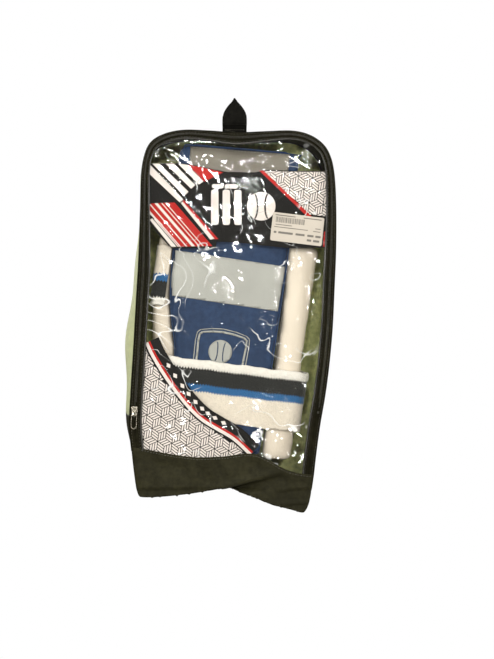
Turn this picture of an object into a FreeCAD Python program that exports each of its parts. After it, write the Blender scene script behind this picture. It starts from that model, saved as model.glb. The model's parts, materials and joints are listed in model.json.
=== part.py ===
"""A cricket thigh pad in its zipped carry bag, hung up by the bag's webbing loop.

Millimetres. +X is the wearer's view right, +Y goes into the bag from its clear front, +Z is up.
The origin is the hook point: the inside of the loop's crest, where a peg carries the bag.
Each function makes one piece or one group of like pieces, and save() writes it to parts/.
"""

import FreeCAD, Part

import math
import os

V = FreeCAD.Vector

# ---------------------------------------------------------------- driving dimensions
# The bag hangs below the hook point. Its front outline is a rounded polygon of (x, z, corner radius),
# clockwise from the top left. The empty foot of the bag draws in on its right side.
BAG_TOP = -32.0
FRONT_OUTLINE = [
    (-108.0, BAG_TOP, 40.0),
    (109.0, BAG_TOP, 44.0),
    (109.0, -200.0, 300.0),
    (86.0, -400.0, 200.0),
    (76.0, -452.0, 10.0),
    (-109.0, -436.0, 8.0),
    (-118.0, -352.0, 80.0),
    (-108.0, -140.0, 300.0),
]
BAG_DEPTH = 80.0  # between the outer faces of the front and the back
CLOTH = 1.0  # thickness of the bag cloth and of the zip tape
FILM = 0.4  # thickness of the clear vinyl window
INK = 0.15  # thickness of a printed layer

FRONT = -BAG_DEPTH / 2
BACK = BAG_DEPTH / 2
WINDOW_FACE = FRONT + CLOTH  # outer face of the window, behind the zip tape
WINDOW_BACK = WINDOW_FACE + FILM

# Across the front border, as distances in from the bag's outer edge.
TAPE_OUTER_EDGE = 5.3
TAPE_INNER_EDGE = 6.5
ZIP_LINE = (TAPE_OUTER_EDGE + TAPE_INNER_EDGE) / 2
COIL_WIDTH = 1.2
COIL_HEIGHT = 1.4
COIL_BACKSET = 0.1
WINDOW_EDGE = 10.2
PIPING_LINE = 12.2
BORDER_EDGE = 13.0
PIPING_R = 1.5
TOUCH = 0.05  # stands a round piping just off the cloth it is sewn to

FOLD_Z = -326.0  # the front folds down here, at the end of the zip
FOLD_GAP = 0.3
ZIP_END_Z = -345.0
YOKE_LEFT_Z = -385.0  # seam of the black foot panel, at the bag's left and right edges
YOKE_RIGHT_Z = -405.0
YOKE_LAP = 8.0
SIDE_TOP_Z = -80.0  # seams between the side gussets and the top gusset

LOOP_WIDTH = 27.0
LOOP_CREST = 1.5  # the crest's top, one ply above the hook point
LOOP_PLY = 1.5
LOOP_EYE = 6.0  # between the two plies
LOOP_FOOT_Z = BAG_TOP + 1.6
LOOP_NECK = 7.0  # where the plies are stitched together, above the foot

STRAP_PLY = 2.5
STRAP_HEIGHT = 65.0

# The pad's own frame: u to the right, v up, leaning clockwise in the bag.
PAD_LEAN = 7.5
PAD_ORIGIN = V(-6.6, 0, -200.8)
PAD_FRONT = -34.0
COVER = 1.5
SHIELD = 2.0
PAD_BACK = -10.0
LINING = 2.0
PATCH = 0.4
WING_TOP = 50.0
WING_FRONT = -31.0
WING_BACK = 4.0
WING_SIDE = -82.0
PAD_FOOT = -184.0
BADGE_FOOT = -84.0
HOOK = 1.2
STRAP_GAP = 0.4  # stands a strap off what it wraps
SEAM = 0.5  # between neighbouring panels of the pad
PAD_FACE = PAD_FRONT - PATCH - STRAP_GAP
PAD_REAR = PAD_BACK + LINING + STRAP_GAP

# (u, v) corners of the blue centre panel, clockwise from its top left.
CENTRE = [
    (-76.0, 148.0),
    (57.0, 157.0),
    (60.0, 31.0),
    (58.0, -89.0),
    (56.0, PAD_FOOT),
    (-45.0, PAD_FOOT),
    (-49.0, -86.0),
    (-66.0, -24.0),
    (-68.0, 28.0),
]
CENTRE_CORNERS = [18.0, 18.0, 40.0, 60.0, 14.0, 14.0, 60.0, 60.0, 60.0]


# ---------------------------------------------------------------- geometry helpers
def inset_points(points, inset):
    """The polygon's corners after every side moves in by inset. Corners run clockwise."""
    lines = []
    for (x0, z0), (x1, z1) in zip(points, points[1:] + points[:1]):
        length = math.hypot(x1 - x0, z1 - z0)
        inward = ((z1 - z0) / length, -(x1 - x0) / length)
        lines.append((x0 + inset * inward[0], z0 + inset * inward[1], x1 - x0, z1 - z0))
    moved = []
    for (ax, az, adx, adz), (bx, bz, bdx, bdz) in zip(lines[-1:] + lines[:-1], lines):
        t = ((bx - ax) * bdz - (bz - az) * bdx) / (adx * bdz - adz * bdx)
        moved.append((ax + t * adx, az + t * adz))
    return moved


def rounded_wire(points, radii, y=0.0):
    """A closed wire in the plane at y, with straight sides and a tangent arc at each corner."""
    edges = []
    count = len(points)
    starts, ends, mids = [], [], []
    for i in range(count):
        before, here, after = (V(p[0], y, p[1]) for p in (points[i - 1], points[i], points[(i + 1) % count]))
        to_before = (before - here).normalize()
        to_after = (after - here).normalize()
        half = to_before.getAngle(to_after) / 2
        reach = radii[i] / math.tan(half)
        middle = (to_before + to_after).normalize()
        starts.append(here + to_before * reach)
        ends.append(here + to_after * reach)
        mids.append(here + middle * (radii[i] / math.sin(half) - radii[i]))
    for i in range(count):
        edges.append(Part.Arc(starts[i], mids[i], ends[i]).toShape())
        edges.append(Part.LineSegment(ends[i], starts[(i + 1) % count]).toShape())
    return Part.Wire(edges)


def plate(points, radii, y0, y1, inset=0.0):
    """A rounded polygon with its sides moved in by inset, extruded from y0 to y1."""
    corners = inset_points(points, inset)
    wire = rounded_wire(corners, [max(r - inset, 0.5) for r in radii], y0)
    return Part.Face(wire).extrude(V(0, y1 - y0, 0))


def bag_plate(y0, y1, inset=0.0):
    points = [(x, z) for x, z, _ in FRONT_OUTLINE]
    radii = [r for _, _, r in FRONT_OUTLINE]
    return plate(points, radii, y0, y1, inset)


def bag_ring(y0, y1, outer, inner):
    """The border of the bag's outline between two distances in from its edge."""
    return bag_plate(y0, y1, outer).cut(bag_plate(y0, y1, inner))


def block(x0, x1, y0, y1, z0, z1):
    return Part.makeBox(x1 - x0, y1 - y0, z1 - z0, V(x0, y0, z0))


def between(shape, z0=-600.0, z1=100.0, x0=-300.0, x1=300.0):
    return shape.common(block(x0, x1, -100, 100, z0, z1))


def flat_polygon(points, y0, y1):
    """A polygon of (x, z) points extruded from y0 to y1."""
    wire = Part.makePolygon([V(x, y0, z) for x, z in points + points[:1]])
    return Part.Face(wire).extrude(V(0, y1 - y0, 0))


def column(points, v0, v1):
    """A polygon of (u, y) points extruded along the pad from v0 to v1."""
    wire = Part.makePolygon([V(u, y, v0) for u, y in points + points[:1]])
    return Part.Face(wire).extrude(V(0, 0, v1 - v0))


def save(name, shape):
    shape = shape.removeSplitter()
    for solid in shape.Solids:
        if not solid.isValid() or solid.Volume <= 0:
            raise ValueError(name + " holds a bad solid")
    Part.makeCompound(shape.Solids).exportStep("parts/" + name + ".step")
    box = shape.BoundBox
    size = "%.1f x %.1f x %.1f" % (box.XLength, box.YLength, box.ZLength)
    print("%-24s solids %d  volume %9.1f  size %s" % (name, len(shape.Solids), shape.Volume, size))


def save_on_pad(name, shape):
    shape = shape.copy()
    shape.rotate(V(0, 0, 0), V(0, 1, 0), PAD_LEAN)
    shape.translate(PAD_ORIGIN)
    save(name, shape)


# ---------------------------------------------------------------- hanging loop
def hang_loop():
    """Webbing folded over: stitched flat at the foot, open at the eye, pinched to a point at the crest."""
    half = LOOP_WIDTH / 2
    eye = LOOP_EYE / 2
    neck_z = LOOP_FOOT_Z + LOOP_NECK
    shoulder_z = neck_z + 5.0
    bow_z = LOOP_CREST - eye - LOOP_PLY

    def side_view(ply):
        """The loop's section, seen along X: a neck, a belly and a round crest."""
        neck = max(ply, 0.01)
        belly = eye + ply
        left = [V(0, -neck, neck_z), V(0, -belly, shoulder_z), V(0, -belly, bow_z)]
        right = [V(0, belly, bow_z), V(0, belly, shoulder_z), V(0, neck, neck_z)]
        edges = [Part.LineSegment(a, b).toShape() for a, b in zip(left, left[1:])]
        edges.append(Part.Arc(left[-1], V(0, 0, bow_z + belly), right[0]).toShape())
        edges += [Part.LineSegment(a, b).toShape() for a, b in zip(right, right[1:])]
        edges.append(Part.LineSegment(right[-1], left[0]).toShape())
        face = Part.Face(Part.Wire(edges))
        face.translate(V(-half, 0, 0))
        return face.extrude(V(LOOP_WIDTH, 0, 0))

    neck = block(-half, half, -LOOP_PLY, LOOP_PLY, LOOP_FOOT_Z, neck_z)
    strap = side_view(LOOP_PLY).fuse(neck).cut(side_view(0))
    # The front view is a pointed arch: upright sides that bow in to the crest.
    spring_z = LOOP_FOOT_Z + 13.0
    crest = V(0, -20, LOOP_CREST + 1.5)
    bow = 1.6
    left_foot, left_spring = V(-half, -20, LOOP_FOOT_Z - 1), V(-half, -20, spring_z)
    right_foot, right_spring = V(half, -20, LOOP_FOOT_Z - 1), V(half, -20, spring_z)
    left_mid = (left_spring + crest) * 0.5 + V(-bow, 0, bow)
    right_mid = (right_spring + crest) * 0.5 + V(bow, 0, bow)
    arch = Part.Wire(
        [
            Part.LineSegment(left_foot, left_spring).toShape(),
            Part.Arc(left_spring, left_mid, crest).toShape(),
            Part.Arc(crest, right_mid, right_spring).toShape(),
            Part.LineSegment(right_spring, right_foot).toShape(),
            Part.LineSegment(right_foot, left_foot).toShape(),
        ]
    )
    return strap.common(Part.Face(arch).extrude(V(0, 40, 0)))


# ---------------------------------------------------------------- bag shell
def back_panel():
    return bag_plate(BACK - CLOTH, BACK)


def gussets():
    """The strip round the bag's sides, in four panels that meet at seams."""
    strip = bag_ring(FRONT + CLOTH, BACK - CLOTH, 0.0, CLOTH)
    return {
        "top_gusset": between(strip, z0=SIDE_TOP_Z),
        "left_gusset": between(strip, z0=ZIP_END_Z, z1=SIDE_TOP_Z, x1=0.0),
        "right_gusset": between(strip, z0=ZIP_END_Z, z1=SIDE_TOP_Z, x0=0.0),
        "base_gusset": between(strip, z1=ZIP_END_Z),
    }


def loop_patch():
    """A doubled patch inside the top gusset that takes the loop's stitching."""
    top = BAG_TOP - CLOTH
    return block(-LOOP_WIDTH / 2 - 4, LOOP_WIDTH / 2 + 4, -11, 11, top - CLOTH, top)


def yoke_side(below):
    """Everything below, or above, the seam of the black foot panel."""
    far = 300.0
    drop = (YOKE_RIGHT_Z - YOKE_LEFT_Z) / 200.0
    left, right = YOKE_LEFT_Z - drop * (far - 116), YOKE_RIGHT_Z + drop * (far - 84)
    end = -600.0 if below else 100.0
    return flat_polygon([(-far, left), (far, right), (far, end), (-far, end)], -100, 100)


def foot_yoke():
    return bag_plate(FRONT, FRONT + CLOTH).common(yoke_side(True))


def lower_borders():
    """The sewn front border between the fold and the foot panel, one strip on each side."""
    strip = between(bag_ring(FRONT, FRONT + CLOTH, TAPE_INNER_EDGE, BORDER_EDGE), z1=FOLD_Z - FOLD_GAP)
    closed = between(bag_ring(FRONT, FRONT + CLOTH, 0.0, BORDER_EDGE), z1=ZIP_END_Z - FOLD_GAP)
    border = strip.fuse(closed).common(yoke_side(False))
    return {
        "lower_border_left": between(border, x1=0.0),
        "lower_border_right": between(border, x0=0.0),
    }


def lower_window():
    """The strip of clear vinyl below the fold, lapped behind the foot panel."""
    sheet = bag_plate(WINDOW_FACE, WINDOW_BACK, WINDOW_EDGE)
    lap = yoke_side(False)
    lap.translate(V(0, 0, -YOKE_LAP))
    return between(sheet, z1=FOLD_Z - FOLD_GAP).common(lap)


def piping(y, inset, keep):
    """A round welt that follows the bag's outline at an inset, cut to keep's part of it."""
    points = inset_points([(x, z) for x, z, _ in FRONT_OUTLINE], inset)
    radii = [max(r - inset, PIPING_R + 1.0) for _, _, r in FRONT_OUTLINE]
    path = rounded_wire(points, radii, y)
    edge = path.Edges[0]
    start, along = edge.valueAt(edge.FirstParameter), edge.tangentAt(edge.FirstParameter)
    ring = Part.Wire([Part.Circle(start, along, PIPING_R).toShape()])
    tube = path.makePipeShell([ring], True, False)
    return keep(tube)


# ---------------------------------------------------------------- zip
def zip_tape_outer():
    return between(bag_ring(FRONT, FRONT + CLOTH, 0.0, TAPE_OUTER_EDGE), z0=ZIP_END_Z)


def zip_coil_outer():
    edge = TAPE_OUTER_EDGE - COIL_BACKSET
    ring = bag_ring(FRONT - COIL_HEIGHT, FRONT, edge - COIL_WIDTH, edge)
    return between(ring, z0=ZIP_END_Z + 4)


def zip_tape_inner():
    return between(bag_ring(FRONT, FRONT + CLOTH, TAPE_INNER_EDGE, BORDER_EDGE), z0=FOLD_Z + FOLD_GAP)


def zip_coil_inner():
    edge = TAPE_INNER_EDGE + COIL_BACKSET
    ring = bag_ring(FRONT - COIL_HEIGHT, FRONT, edge, edge + COIL_WIDTH)
    return between(ring, z0=FOLD_Z + FOLD_GAP)


def side_x(z, inset, left=True):
    """Where the bag's edge is at height z, moved in by inset."""
    corners = inset_points([(x, zz) for x, zz, _ in FRONT_OUTLINE], inset)
    for (x0, z0), (x1, z1) in zip(corners, corners[1:] + corners[:1]):
        on_side = x0 < 0 and x1 < 0 if left else x0 > 0 and x1 > 0
        if on_side and min(z0, z1) <= z <= max(z0, z1) and abs(z1 - z0) > 1:
            return x0 + (x1 - x0) * (z - z0) / (z1 - z0)
    raise ValueError("no edge at that height")


def zip_stops():
    """Crimped staples over the coil at the two ends of the zip, each on the bag's own tape."""
    edge = TAPE_OUTER_EDGE - COIL_BACKSET
    stops = []
    for left in (True, False):
        z = ZIP_END_Z + 2.0
        middle = side_x(z, edge - COIL_WIDTH / 2, left)
        right = middle + (1.0 if left else 1.4)
        stops.append(block(middle - 1.4, right, FRONT - 1.6, FRONT, z - 1.5, z + 1.5))
    return Part.makeCompound(stops)


SLIDER_LENGTH = 11.0
SLIDER_WIDTH = 7.2
SLIDER_PLATE = 1.2
SLIDER_POST = 0.5
SLIDER_Z = FOLD_Z - 9.5
SLIDER_FACE = FRONT - 3.4
PIN_Y = SLIDER_FACE - 0.9
PIN_R = 0.5
BAIL_WIDTH = 1.6
ZIP_RUN_X = FRONT_OUTLINE[7][0] - FRONT_OUTLINE[6][0]
ZIP_RUN_Z = FRONT_OUTLINE[7][1] - FRONT_OUTLINE[6][1]
ZIP_LEAN = math.degrees(math.atan2(ZIP_RUN_X, ZIP_RUN_Z))


def on_zip(shape):
    """Moves a piece made round the zip line at x = z = 0 to the slider's place on the left side."""
    shape = shape.copy()
    shape.rotate(V(0, 0, 0), V(0, 1, 0), ZIP_LEAN)
    shape.translate(V(side_x(SLIDER_Z, ZIP_LINE), 0, SLIDER_Z))
    return shape


def slider_body():
    """Two plates joined by a thin post, with side walls that hold the coil and a bail for the pull."""
    half_w, half_l = SLIDER_WIDTH / 2, SLIDER_LENGTH / 2
    top = block(-half_w, half_w, SLIDER_FACE, SLIDER_FACE + SLIDER_PLATE, -half_l, half_l)
    back_y = FRONT + CLOTH + 0.25
    bottom = block(-half_w + 0.3, half_w - 0.3, back_y, back_y + SLIDER_PLATE, -half_l, half_l)
    half_p = SLIDER_POST / 2
    post = block(-half_p, half_p, SLIDER_FACE, back_y + SLIDER_PLATE, -half_l + 1, half_l - 4)
    walls = [
        block(x, x + 0.8, SLIDER_FACE, FRONT - 0.4, -half_l, half_l) for x in (-half_w, half_w - 0.8)
    ]
    bail_top = PIN_Y - 1.3
    bail = block(-BAIL_WIDTH / 2, BAIL_WIDTH / 2, bail_top, SLIDER_FACE, -3.0, 3.0)
    eye = block(-BAIL_WIDTH, BAIL_WIDTH, PIN_Y - 0.75, SLIDER_FACE, -1.6, 1.6)
    body = top.fuse([bottom, post, bail.cut(eye)] + walls)
    corners = [e for e in top.Edges if abs(e.tangentAt(0).y) > 0.9]
    rounded = top.makeFillet(1.8, corners)
    return on_zip(body.common(rounded.fuse([bottom, post, bail] + walls)))


PULL_LENGTH = 19.0
PULL_WIDTH = 6.4
PULL_BAR = 1.1


def pull_tab():
    """An open oval frame of flat wire that hangs on a pin through the slider's bail."""
    half = PULL_WIDTH / 2
    y0, y1 = PIN_Y - PIN_R, PIN_Y + PIN_R
    outer_points = [(-half, 0.0), (half, 0.0), (half, -PULL_LENGTH), (-half, -PULL_LENGTH)]
    outer = plate(outer_points, [0.6, 0.6, 2.4, 2.4], y0, y1)
    inner = plate(outer_points, [1.4, 1.4, 2.4, 2.4], y0, y1, PULL_BAR)
    pin = Part.makeCylinder(PIN_R, PULL_WIDTH - 1.0, V(-half + 0.5, PIN_Y, 0), V(1, 0, 0))
    frame = outer.cut(inner).common(block(-half, half, y0, y1, -PULL_LENGTH, -PULL_BAR))
    arms = [block(x, x + PULL_BAR, y0, y1, -PULL_BAR, 0.0) for x in (-half, half - PULL_BAR)]
    ears = [
        Part.makeCylinder(PIN_R, PULL_BAR, V(x, PIN_Y, 0), V(1, 0, 0)) for x in (-half, half - PULL_BAR)
    ]
    return on_zip(frame.fuse(arms + ears + [pin]))


# ---------------------------------------------------------------- front flap
def window_panel():
    return between(bag_plate(WINDOW_FACE, WINDOW_BACK, WINDOW_EDGE), z0=FOLD_Z + FOLD_GAP)


BANNER = [
    (-97.0, -71.0),
    (-50.0, -71.5),
    (-6.0, -77.0),
    (30.0, -75.5),
    (97.0, -75.5),
    (95.0, -160.0),
    (38.0, -157.0),
    (-26.0, -154.0),
    (-27.0, -161.0),
    (-73.5, -161.0),
    (-96.5, -134.0),
]
CORNER_PRINT = [
    (-97.5, -259.0),
    (-86.0, -282.0),
    (-59.0, -312.0),
    (-30.0, -346.0),
    (-8.0, -357.0),
    (20.0, -391.0),
    (-104.0, -391.0),
    (-99.0, -300.0),
]


def banner_print():
    """The opaque printed banner behind the upper window."""
    return flat_polygon(BANNER, WINDOW_BACK, WINDOW_BACK + INK).common(
        bag_plate(WINDOW_BACK, WINDOW_BACK + INK, WINDOW_EDGE)
    )


def corner_prints():
    """The printed swoosh and patterned corner, in two parts that meet at the fold."""
    whole = flat_polygon(CORNER_PRINT, WINDOW_BACK, WINDOW_BACK + INK).common(
        bag_plate(WINDOW_BACK, WINDOW_BACK + INK, WINDOW_EDGE)
    )
    return {
        "corner_print": between(whole, z0=FOLD_Z + FOLD_GAP),
        "corner_print_lower": between(whole, z1=FOLD_Z - FOLD_GAP),
    }


def price_sticker():
    """A paper label on the outside of the window."""
    label = plate([(0, 0), (57, 0), (57, -32), (0, -32)], [1.5] * 4, WINDOW_FACE - 0.2, WINDOW_FACE)
    label.rotate(V(0, 0, 0), V(0, 1, 0), 6.5)
    label.translate(V(38.5, 0, -122.5))
    return label


# ---------------------------------------------------------------- pad
def centre_plate(y0, y1, inset=0.0):
    return plate(CENTRE, CENTRE_CORNERS, y0, y1, inset)


def centre_pieces():
    """The centre of the pad, as a tray of blue facing filled with a shield and foam."""
    shield_front = PAD_FRONT + COVER
    foam_front = shield_front + SHIELD
    tray = centre_plate(PAD_FRONT, PAD_BACK).cut(centre_plate(shield_front, PAD_BACK, COVER))
    return {
        "centre_cover": tray,
        "shock_shield": centre_plate(shield_front, foam_front, COVER),
        "centre_foam": centre_plate(foam_front, PAD_BACK, COVER),
        "centre_lining": centre_plate(PAD_BACK, PAD_BACK + LINING),
    }


def silver_patches():
    face = PAD_FRONT - PATCH
    band = [(-66.5, 31.5), (57.0, 29.5), (55.0, -20.0), (-64.0, -18.0)]
    top = [(-63.0, 145.5), (46.0, 152.0), (46.0, 85.0), (-58.0, 85.0)]
    return {
        "silver_band": plate(band, [1.0] * 4, face, PAD_FRONT),
        "silver_top_patch": plate(top, [1.0] * 4, face, PAD_FRONT),
    }


def badge():
    """The raised upper rim of a shield badge, and a ball within it, above the lower strap."""
    face = PAD_FRONT - PATCH
    rim = [(-30, -50), (-3, -46), (28, -50), (26, BADGE_FOOT), (-28, BADGE_FOOT)]
    hollow = [(-27, -54), (-3, -50), (25, -54), (24, BADGE_FOOT - 6), (-26, BADGE_FOOT - 6)]
    corners = [2, 40, 2, 1, 1]
    shield = plate(rim, corners, face, PAD_FRONT).cut(plate(hollow, corners, face, PAD_FRONT))
    ball = Part.makeCylinder(11, PATCH, V(-2, face, -69), V(0, 1, 0))
    return shield.fuse(ball)


def right_wing():
    """The right side wing, turned a little back: a white cover, its foam and its lining."""
    inner_u = 60.0 + SEAM
    outside = [(inner_u, -33.5), (88.0, -26.0), (94.0, -19.0), (87.0, -1.0), (inner_u, PAD_BACK)]
    foam_u = inner_u + COVER
    inside = [(foam_u, -31.7), (87.3, -24.6), (92.2, -18.8), (85.2, -1.0), (85.2, 4.0), (foam_u, 4.0)]
    hull = column(outside, PAD_FOOT, WING_TOP)
    core = column(inside, PAD_FOOT + COVER, WING_TOP - COVER).common(hull)
    lining = [(inner_u, PAD_BACK), (87.0, -1.0), (86.3, 1.0), (inner_u, PAD_BACK + LINING)]
    return {
        "right_wing_cover": hull.cut(core),
        "right_wing_foam": core,
        "right_wing_lining": column(lining, PAD_FOOT, WING_TOP),
    }


def left_wing():
    """The left side wing, turned well back, so that it is deeper than it is wide."""
    outline = [
        (-70.3, WING_TOP),
        (-69.3, 28.0),
        (-67.2, -24.0),
        (-50.3, -86.0),
        (-46.3, PAD_FOOT),
        (-66.0, PAD_FOOT),
        (-70.0, -86.0),
        (WING_SIDE, -24.0),
        (WING_SIDE, WING_TOP),
    ]
    radii = [3.0, 60.0, 60.0, 60.0, 4.0, 8.0, 30.0, 30.0, 8.0]
    hull = plate(outline, radii, WING_FRONT, WING_BACK)
    core = plate(outline, radii, WING_FRONT + COVER, WING_BACK, COVER)
    return {
        "left_wing_cover": hull.cut(core),
        "left_wing_foam": core,
        "left_wing_lining": plate(outline, radii, WING_BACK, WING_BACK + LINING),
    }


LOWER_STRAP_V = -151.0
UPPER_STRAP_V = -30.0
LOWER_STRAP_PATH = [
    (-63.0, PAD_FACE),
    (61.0, PAD_FACE),
    (89.0, -26.8),
    (95.0, -19.0),
    (88.0, 1.8),
    (84.0, 2.6),
    (60.0, PAD_REAR),
    (-42.0, PAD_REAR),
    (-46.0, 6.4),
    (-70.6, 6.4),
    (-70.6, -31.6),
]


def strap_ring(path, v0):
    """A strap wrapped right round the pad, as the wall between a path and the same path grown by a ply."""
    inner = Part.Face(Part.makePolygon([V(u, y, v0) for u, y in path + path[:1]]))
    outer = inner.makeOffset2D(STRAP_PLY)
    return outer.cut(inner).extrude(V(0, 0, STRAP_HEIGHT))


def lower_strap_pieces():
    """The wrapped lower strap, and its end fastened down on itself behind the pad by hook tape."""
    back = PAD_REAR + STRAP_PLY
    v0 = LOWER_STRAP_V
    v1 = v0 + STRAP_HEIGHT
    return {
        "lower_strap": strap_ring(LOWER_STRAP_PATH, v0),
        "lower_hook_patch": block(-30, 25, back, back + HOOK, v0 + 4, v1 - 4),
        "lower_strap_tail": block(-38, 45, back + HOOK, back + HOOK + STRAP_PLY, v0, v1),
    }


def upper_strap_pieces():
    """The upper strap: sewn at the left of the centre panel, round the left wing, then across the back."""
    v0 = UPPER_STRAP_V
    v1 = v0 + STRAP_HEIGHT
    front = WING_FRONT - STRAP_GAP
    back = WING_BACK + LINING + STRAP_GAP
    side = WING_SIDE - STRAP_GAP
    across = PAD_REAR + HOOK
    turn = -62.0
    plies = [
        block(side - STRAP_PLY, -69.0, front - STRAP_PLY, front, v0, v1),
        block(side - STRAP_PLY, side, front - STRAP_PLY, back + STRAP_PLY, v0, v1),
        block(side - STRAP_PLY, turn, back, back + STRAP_PLY, v0, v1),
        block(turn - STRAP_PLY, turn, across, back + STRAP_PLY, v0, v1),
        block(turn - STRAP_PLY, 50.0, across, across + STRAP_PLY, v0, v1),
    ]
    return {
        "upper_strap": plies[0].fuse(plies[1:]),
        "upper_hook_patch": block(-8, 46, PAD_REAR, across, v0 + 4, v1 - 4),
    }


# ---------------------------------------------------------------- write every piece
def main():
    os.makedirs("parts", exist_ok=True)
    save("hang_loop", hang_loop())
    save("back_panel", back_panel())
    for name, shape in gussets().items():
        save(name, shape)
    save("loop_patch", loop_patch())
    save("foot_yoke", foot_yoke())
    for name, shape in lower_borders().items():
        save(name, shape)
    save("lower_window", lower_window())
    save("back_piping", piping(BACK - PIPING_R, -PIPING_R - TOUCH, lambda tube: tube))
    front_y = FRONT - PIPING_R - TOUCH
    save("front_piping", piping(front_y, PIPING_LINE, lambda tube: between(tube, z0=FOLD_Z + FOLD_GAP)))
    below = piping(front_y, PIPING_LINE, lambda tube: between(tube, z1=FOLD_Z - FOLD_GAP))
    save("lower_piping", below.common(yoke_side(False)))
    save("zip_tape_outer", zip_tape_outer())
    save("zip_coil_outer", zip_coil_outer())
    save("zip_stops", zip_stops())
    save("zip_tape_inner", zip_tape_inner())
    save("zip_coil_inner", zip_coil_inner())
    save("slider_body", slider_body())
    save("pull_tab", pull_tab())
    save("window_panel", window_panel())
    save("banner_print", banner_print())
    for name, shape in corner_prints().items():
        save(name, shape)
    save("price_sticker", price_sticker())
    pad = {"badge": badge()}
    for group in (centre_pieces, silver_patches, right_wing, left_wing):
        pad.update(group())
    for group in (lower_strap_pieces, upper_strap_pieces):
        pad.update(group())
    for name, shape in pad.items():
        save_on_pad(name, shape)


main()
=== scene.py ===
import json
import math

import bmesh
import bpy
import numpy as np
from mathutils import Matrix, Vector
from mathutils.bvhtree import BVHTree


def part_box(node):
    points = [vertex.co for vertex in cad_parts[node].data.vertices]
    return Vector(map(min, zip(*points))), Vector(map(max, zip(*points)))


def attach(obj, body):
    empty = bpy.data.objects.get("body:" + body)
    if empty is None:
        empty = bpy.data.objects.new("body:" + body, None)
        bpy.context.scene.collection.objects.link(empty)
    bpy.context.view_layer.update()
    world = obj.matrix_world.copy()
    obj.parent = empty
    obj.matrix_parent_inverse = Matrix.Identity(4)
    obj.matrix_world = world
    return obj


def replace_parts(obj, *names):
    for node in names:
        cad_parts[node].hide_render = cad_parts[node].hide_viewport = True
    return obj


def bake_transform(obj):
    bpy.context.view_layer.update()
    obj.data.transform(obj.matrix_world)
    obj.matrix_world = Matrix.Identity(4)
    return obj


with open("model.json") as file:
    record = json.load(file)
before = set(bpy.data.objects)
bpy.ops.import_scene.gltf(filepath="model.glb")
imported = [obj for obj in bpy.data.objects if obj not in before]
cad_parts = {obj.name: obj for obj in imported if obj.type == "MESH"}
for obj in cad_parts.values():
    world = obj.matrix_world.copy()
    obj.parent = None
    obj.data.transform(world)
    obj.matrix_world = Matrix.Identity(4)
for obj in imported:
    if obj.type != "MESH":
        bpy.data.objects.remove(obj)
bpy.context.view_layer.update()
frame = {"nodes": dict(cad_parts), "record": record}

# ---------------------------------------------------------------- camera
# Stands a little over a metre in front of the hanging bag, slightly to its left and near its middle.
CAMERA_AT = Vector((-0.075, -1.19, -0.215))
CAMERA_AIM = Vector((0.011, -0.04, -0.2475))
camera = bpy.data.objects.new("camera", bpy.data.cameras.new("camera"))
bpy.context.collection.objects.link(camera)
camera.location = CAMERA_AT
camera.rotation_euler = (CAMERA_AIM - CAMERA_AT).to_track_quat("-Z", "Y").to_euler()
PICTURE_HEIGHT = 0.718  # what the picture takes in at the bag's front
camera.data.lens = camera.data.sensor_width * (CAMERA_AIM - CAMERA_AT).length / PICTURE_HEIGHT
bpy.context.scene.camera = camera

# ---------------------------------------------------------------- light and floor
# A white ground behind a dim shop, a pale floor far below the hanging bag, large soft lamps on each
# side, behind and above, and a few small ceiling lamps that glint in the vinyl.
ROOM_LIGHT = 0.17


def linear(code):
    """A colour written as #rrggbb, in linear light."""
    values = [int(code[i : i + 2], 16) / 255 for i in (1, 3, 5)]
    return [v / 12.92 if v < 0.04045 else ((v + 0.055) / 1.055) ** 2.4 for v in values] + [1.0]


def add_node(tree, kind, inputs=None, **settings):
    """Adds a shader node. A socket given as an input is linked, and any other value is set."""
    made = tree.nodes.new(kind)
    for name, value in settings.items():
        setattr(made, name, value)
    for name, value in (inputs or {}).items():
        if isinstance(value, bpy.types.NodeSocket):
            tree.links.new(value, made.inputs[name])
        else:
            made.inputs[name].default_value = value
    return made


def new_material(name):
    """An empty material, its node tree, and the object coordinates that its patterns read."""
    made = bpy.data.materials.new(name)
    made.use_nodes = True
    made.node_tree.nodes.clear()
    return made, made.node_tree, add_node(made.node_tree, "ShaderNodeTexCoord").outputs["Object"]


def strip_light(name, at, aim, size, watts):
    lamp = bpy.data.lights.new(name, "AREA")
    lamp.shape = "RECTANGLE"
    lamp.size, lamp.size_y = size
    lamp.energy = watts
    held = bpy.data.objects.new(name, lamp)
    held.location = at
    held.rotation_euler = (Vector(aim) - Vector(at)).to_track_quat("-Z", "Y").to_euler()
    bpy.context.collection.objects.link(held)


bpy.context.scene.view_settings.view_transform = "Standard"
world = bpy.data.worlds.new("pale_room")
bpy.context.scene.world = world
world.use_nodes = True
sky = world.node_tree
sky.nodes.clear()
seen = add_node(sky, "ShaderNodeLightPath")
room = add_node(sky, "ShaderNodeBackground", {"Color": linear("#fff6e8"), "Strength": ROOM_LIGHT})
ground = add_node(sky, "ShaderNodeBackground", {"Color": (1.0, 1.0, 1.0, 1.0), "Strength": 1.0})
either = add_node(
    sky, "ShaderNodeMixShader", {0: seen.outputs["Is Camera Ray"], 1: room.outputs[0], 2: ground.outputs[0]}
)
add_node(sky, "ShaderNodeOutputWorld", {"Surface": either.outputs[0]})
middle = (0, 0, -0.24)
strip_light("soft_left", (-1.9, -1.3, 0.7), middle, (1.1, 1.4), 26)
strip_light("soft_right", (2.1, -1.1, 0.6), middle, (0.9, 1.4), 22)
strip_light("soft_back", (-0.6, 2.1, 0.5), middle, (1.3, 1.3), 30)
strip_light("soft_top", (0.1, -0.7, 2.0), middle, (1.6, 0.7), 19)
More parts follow.
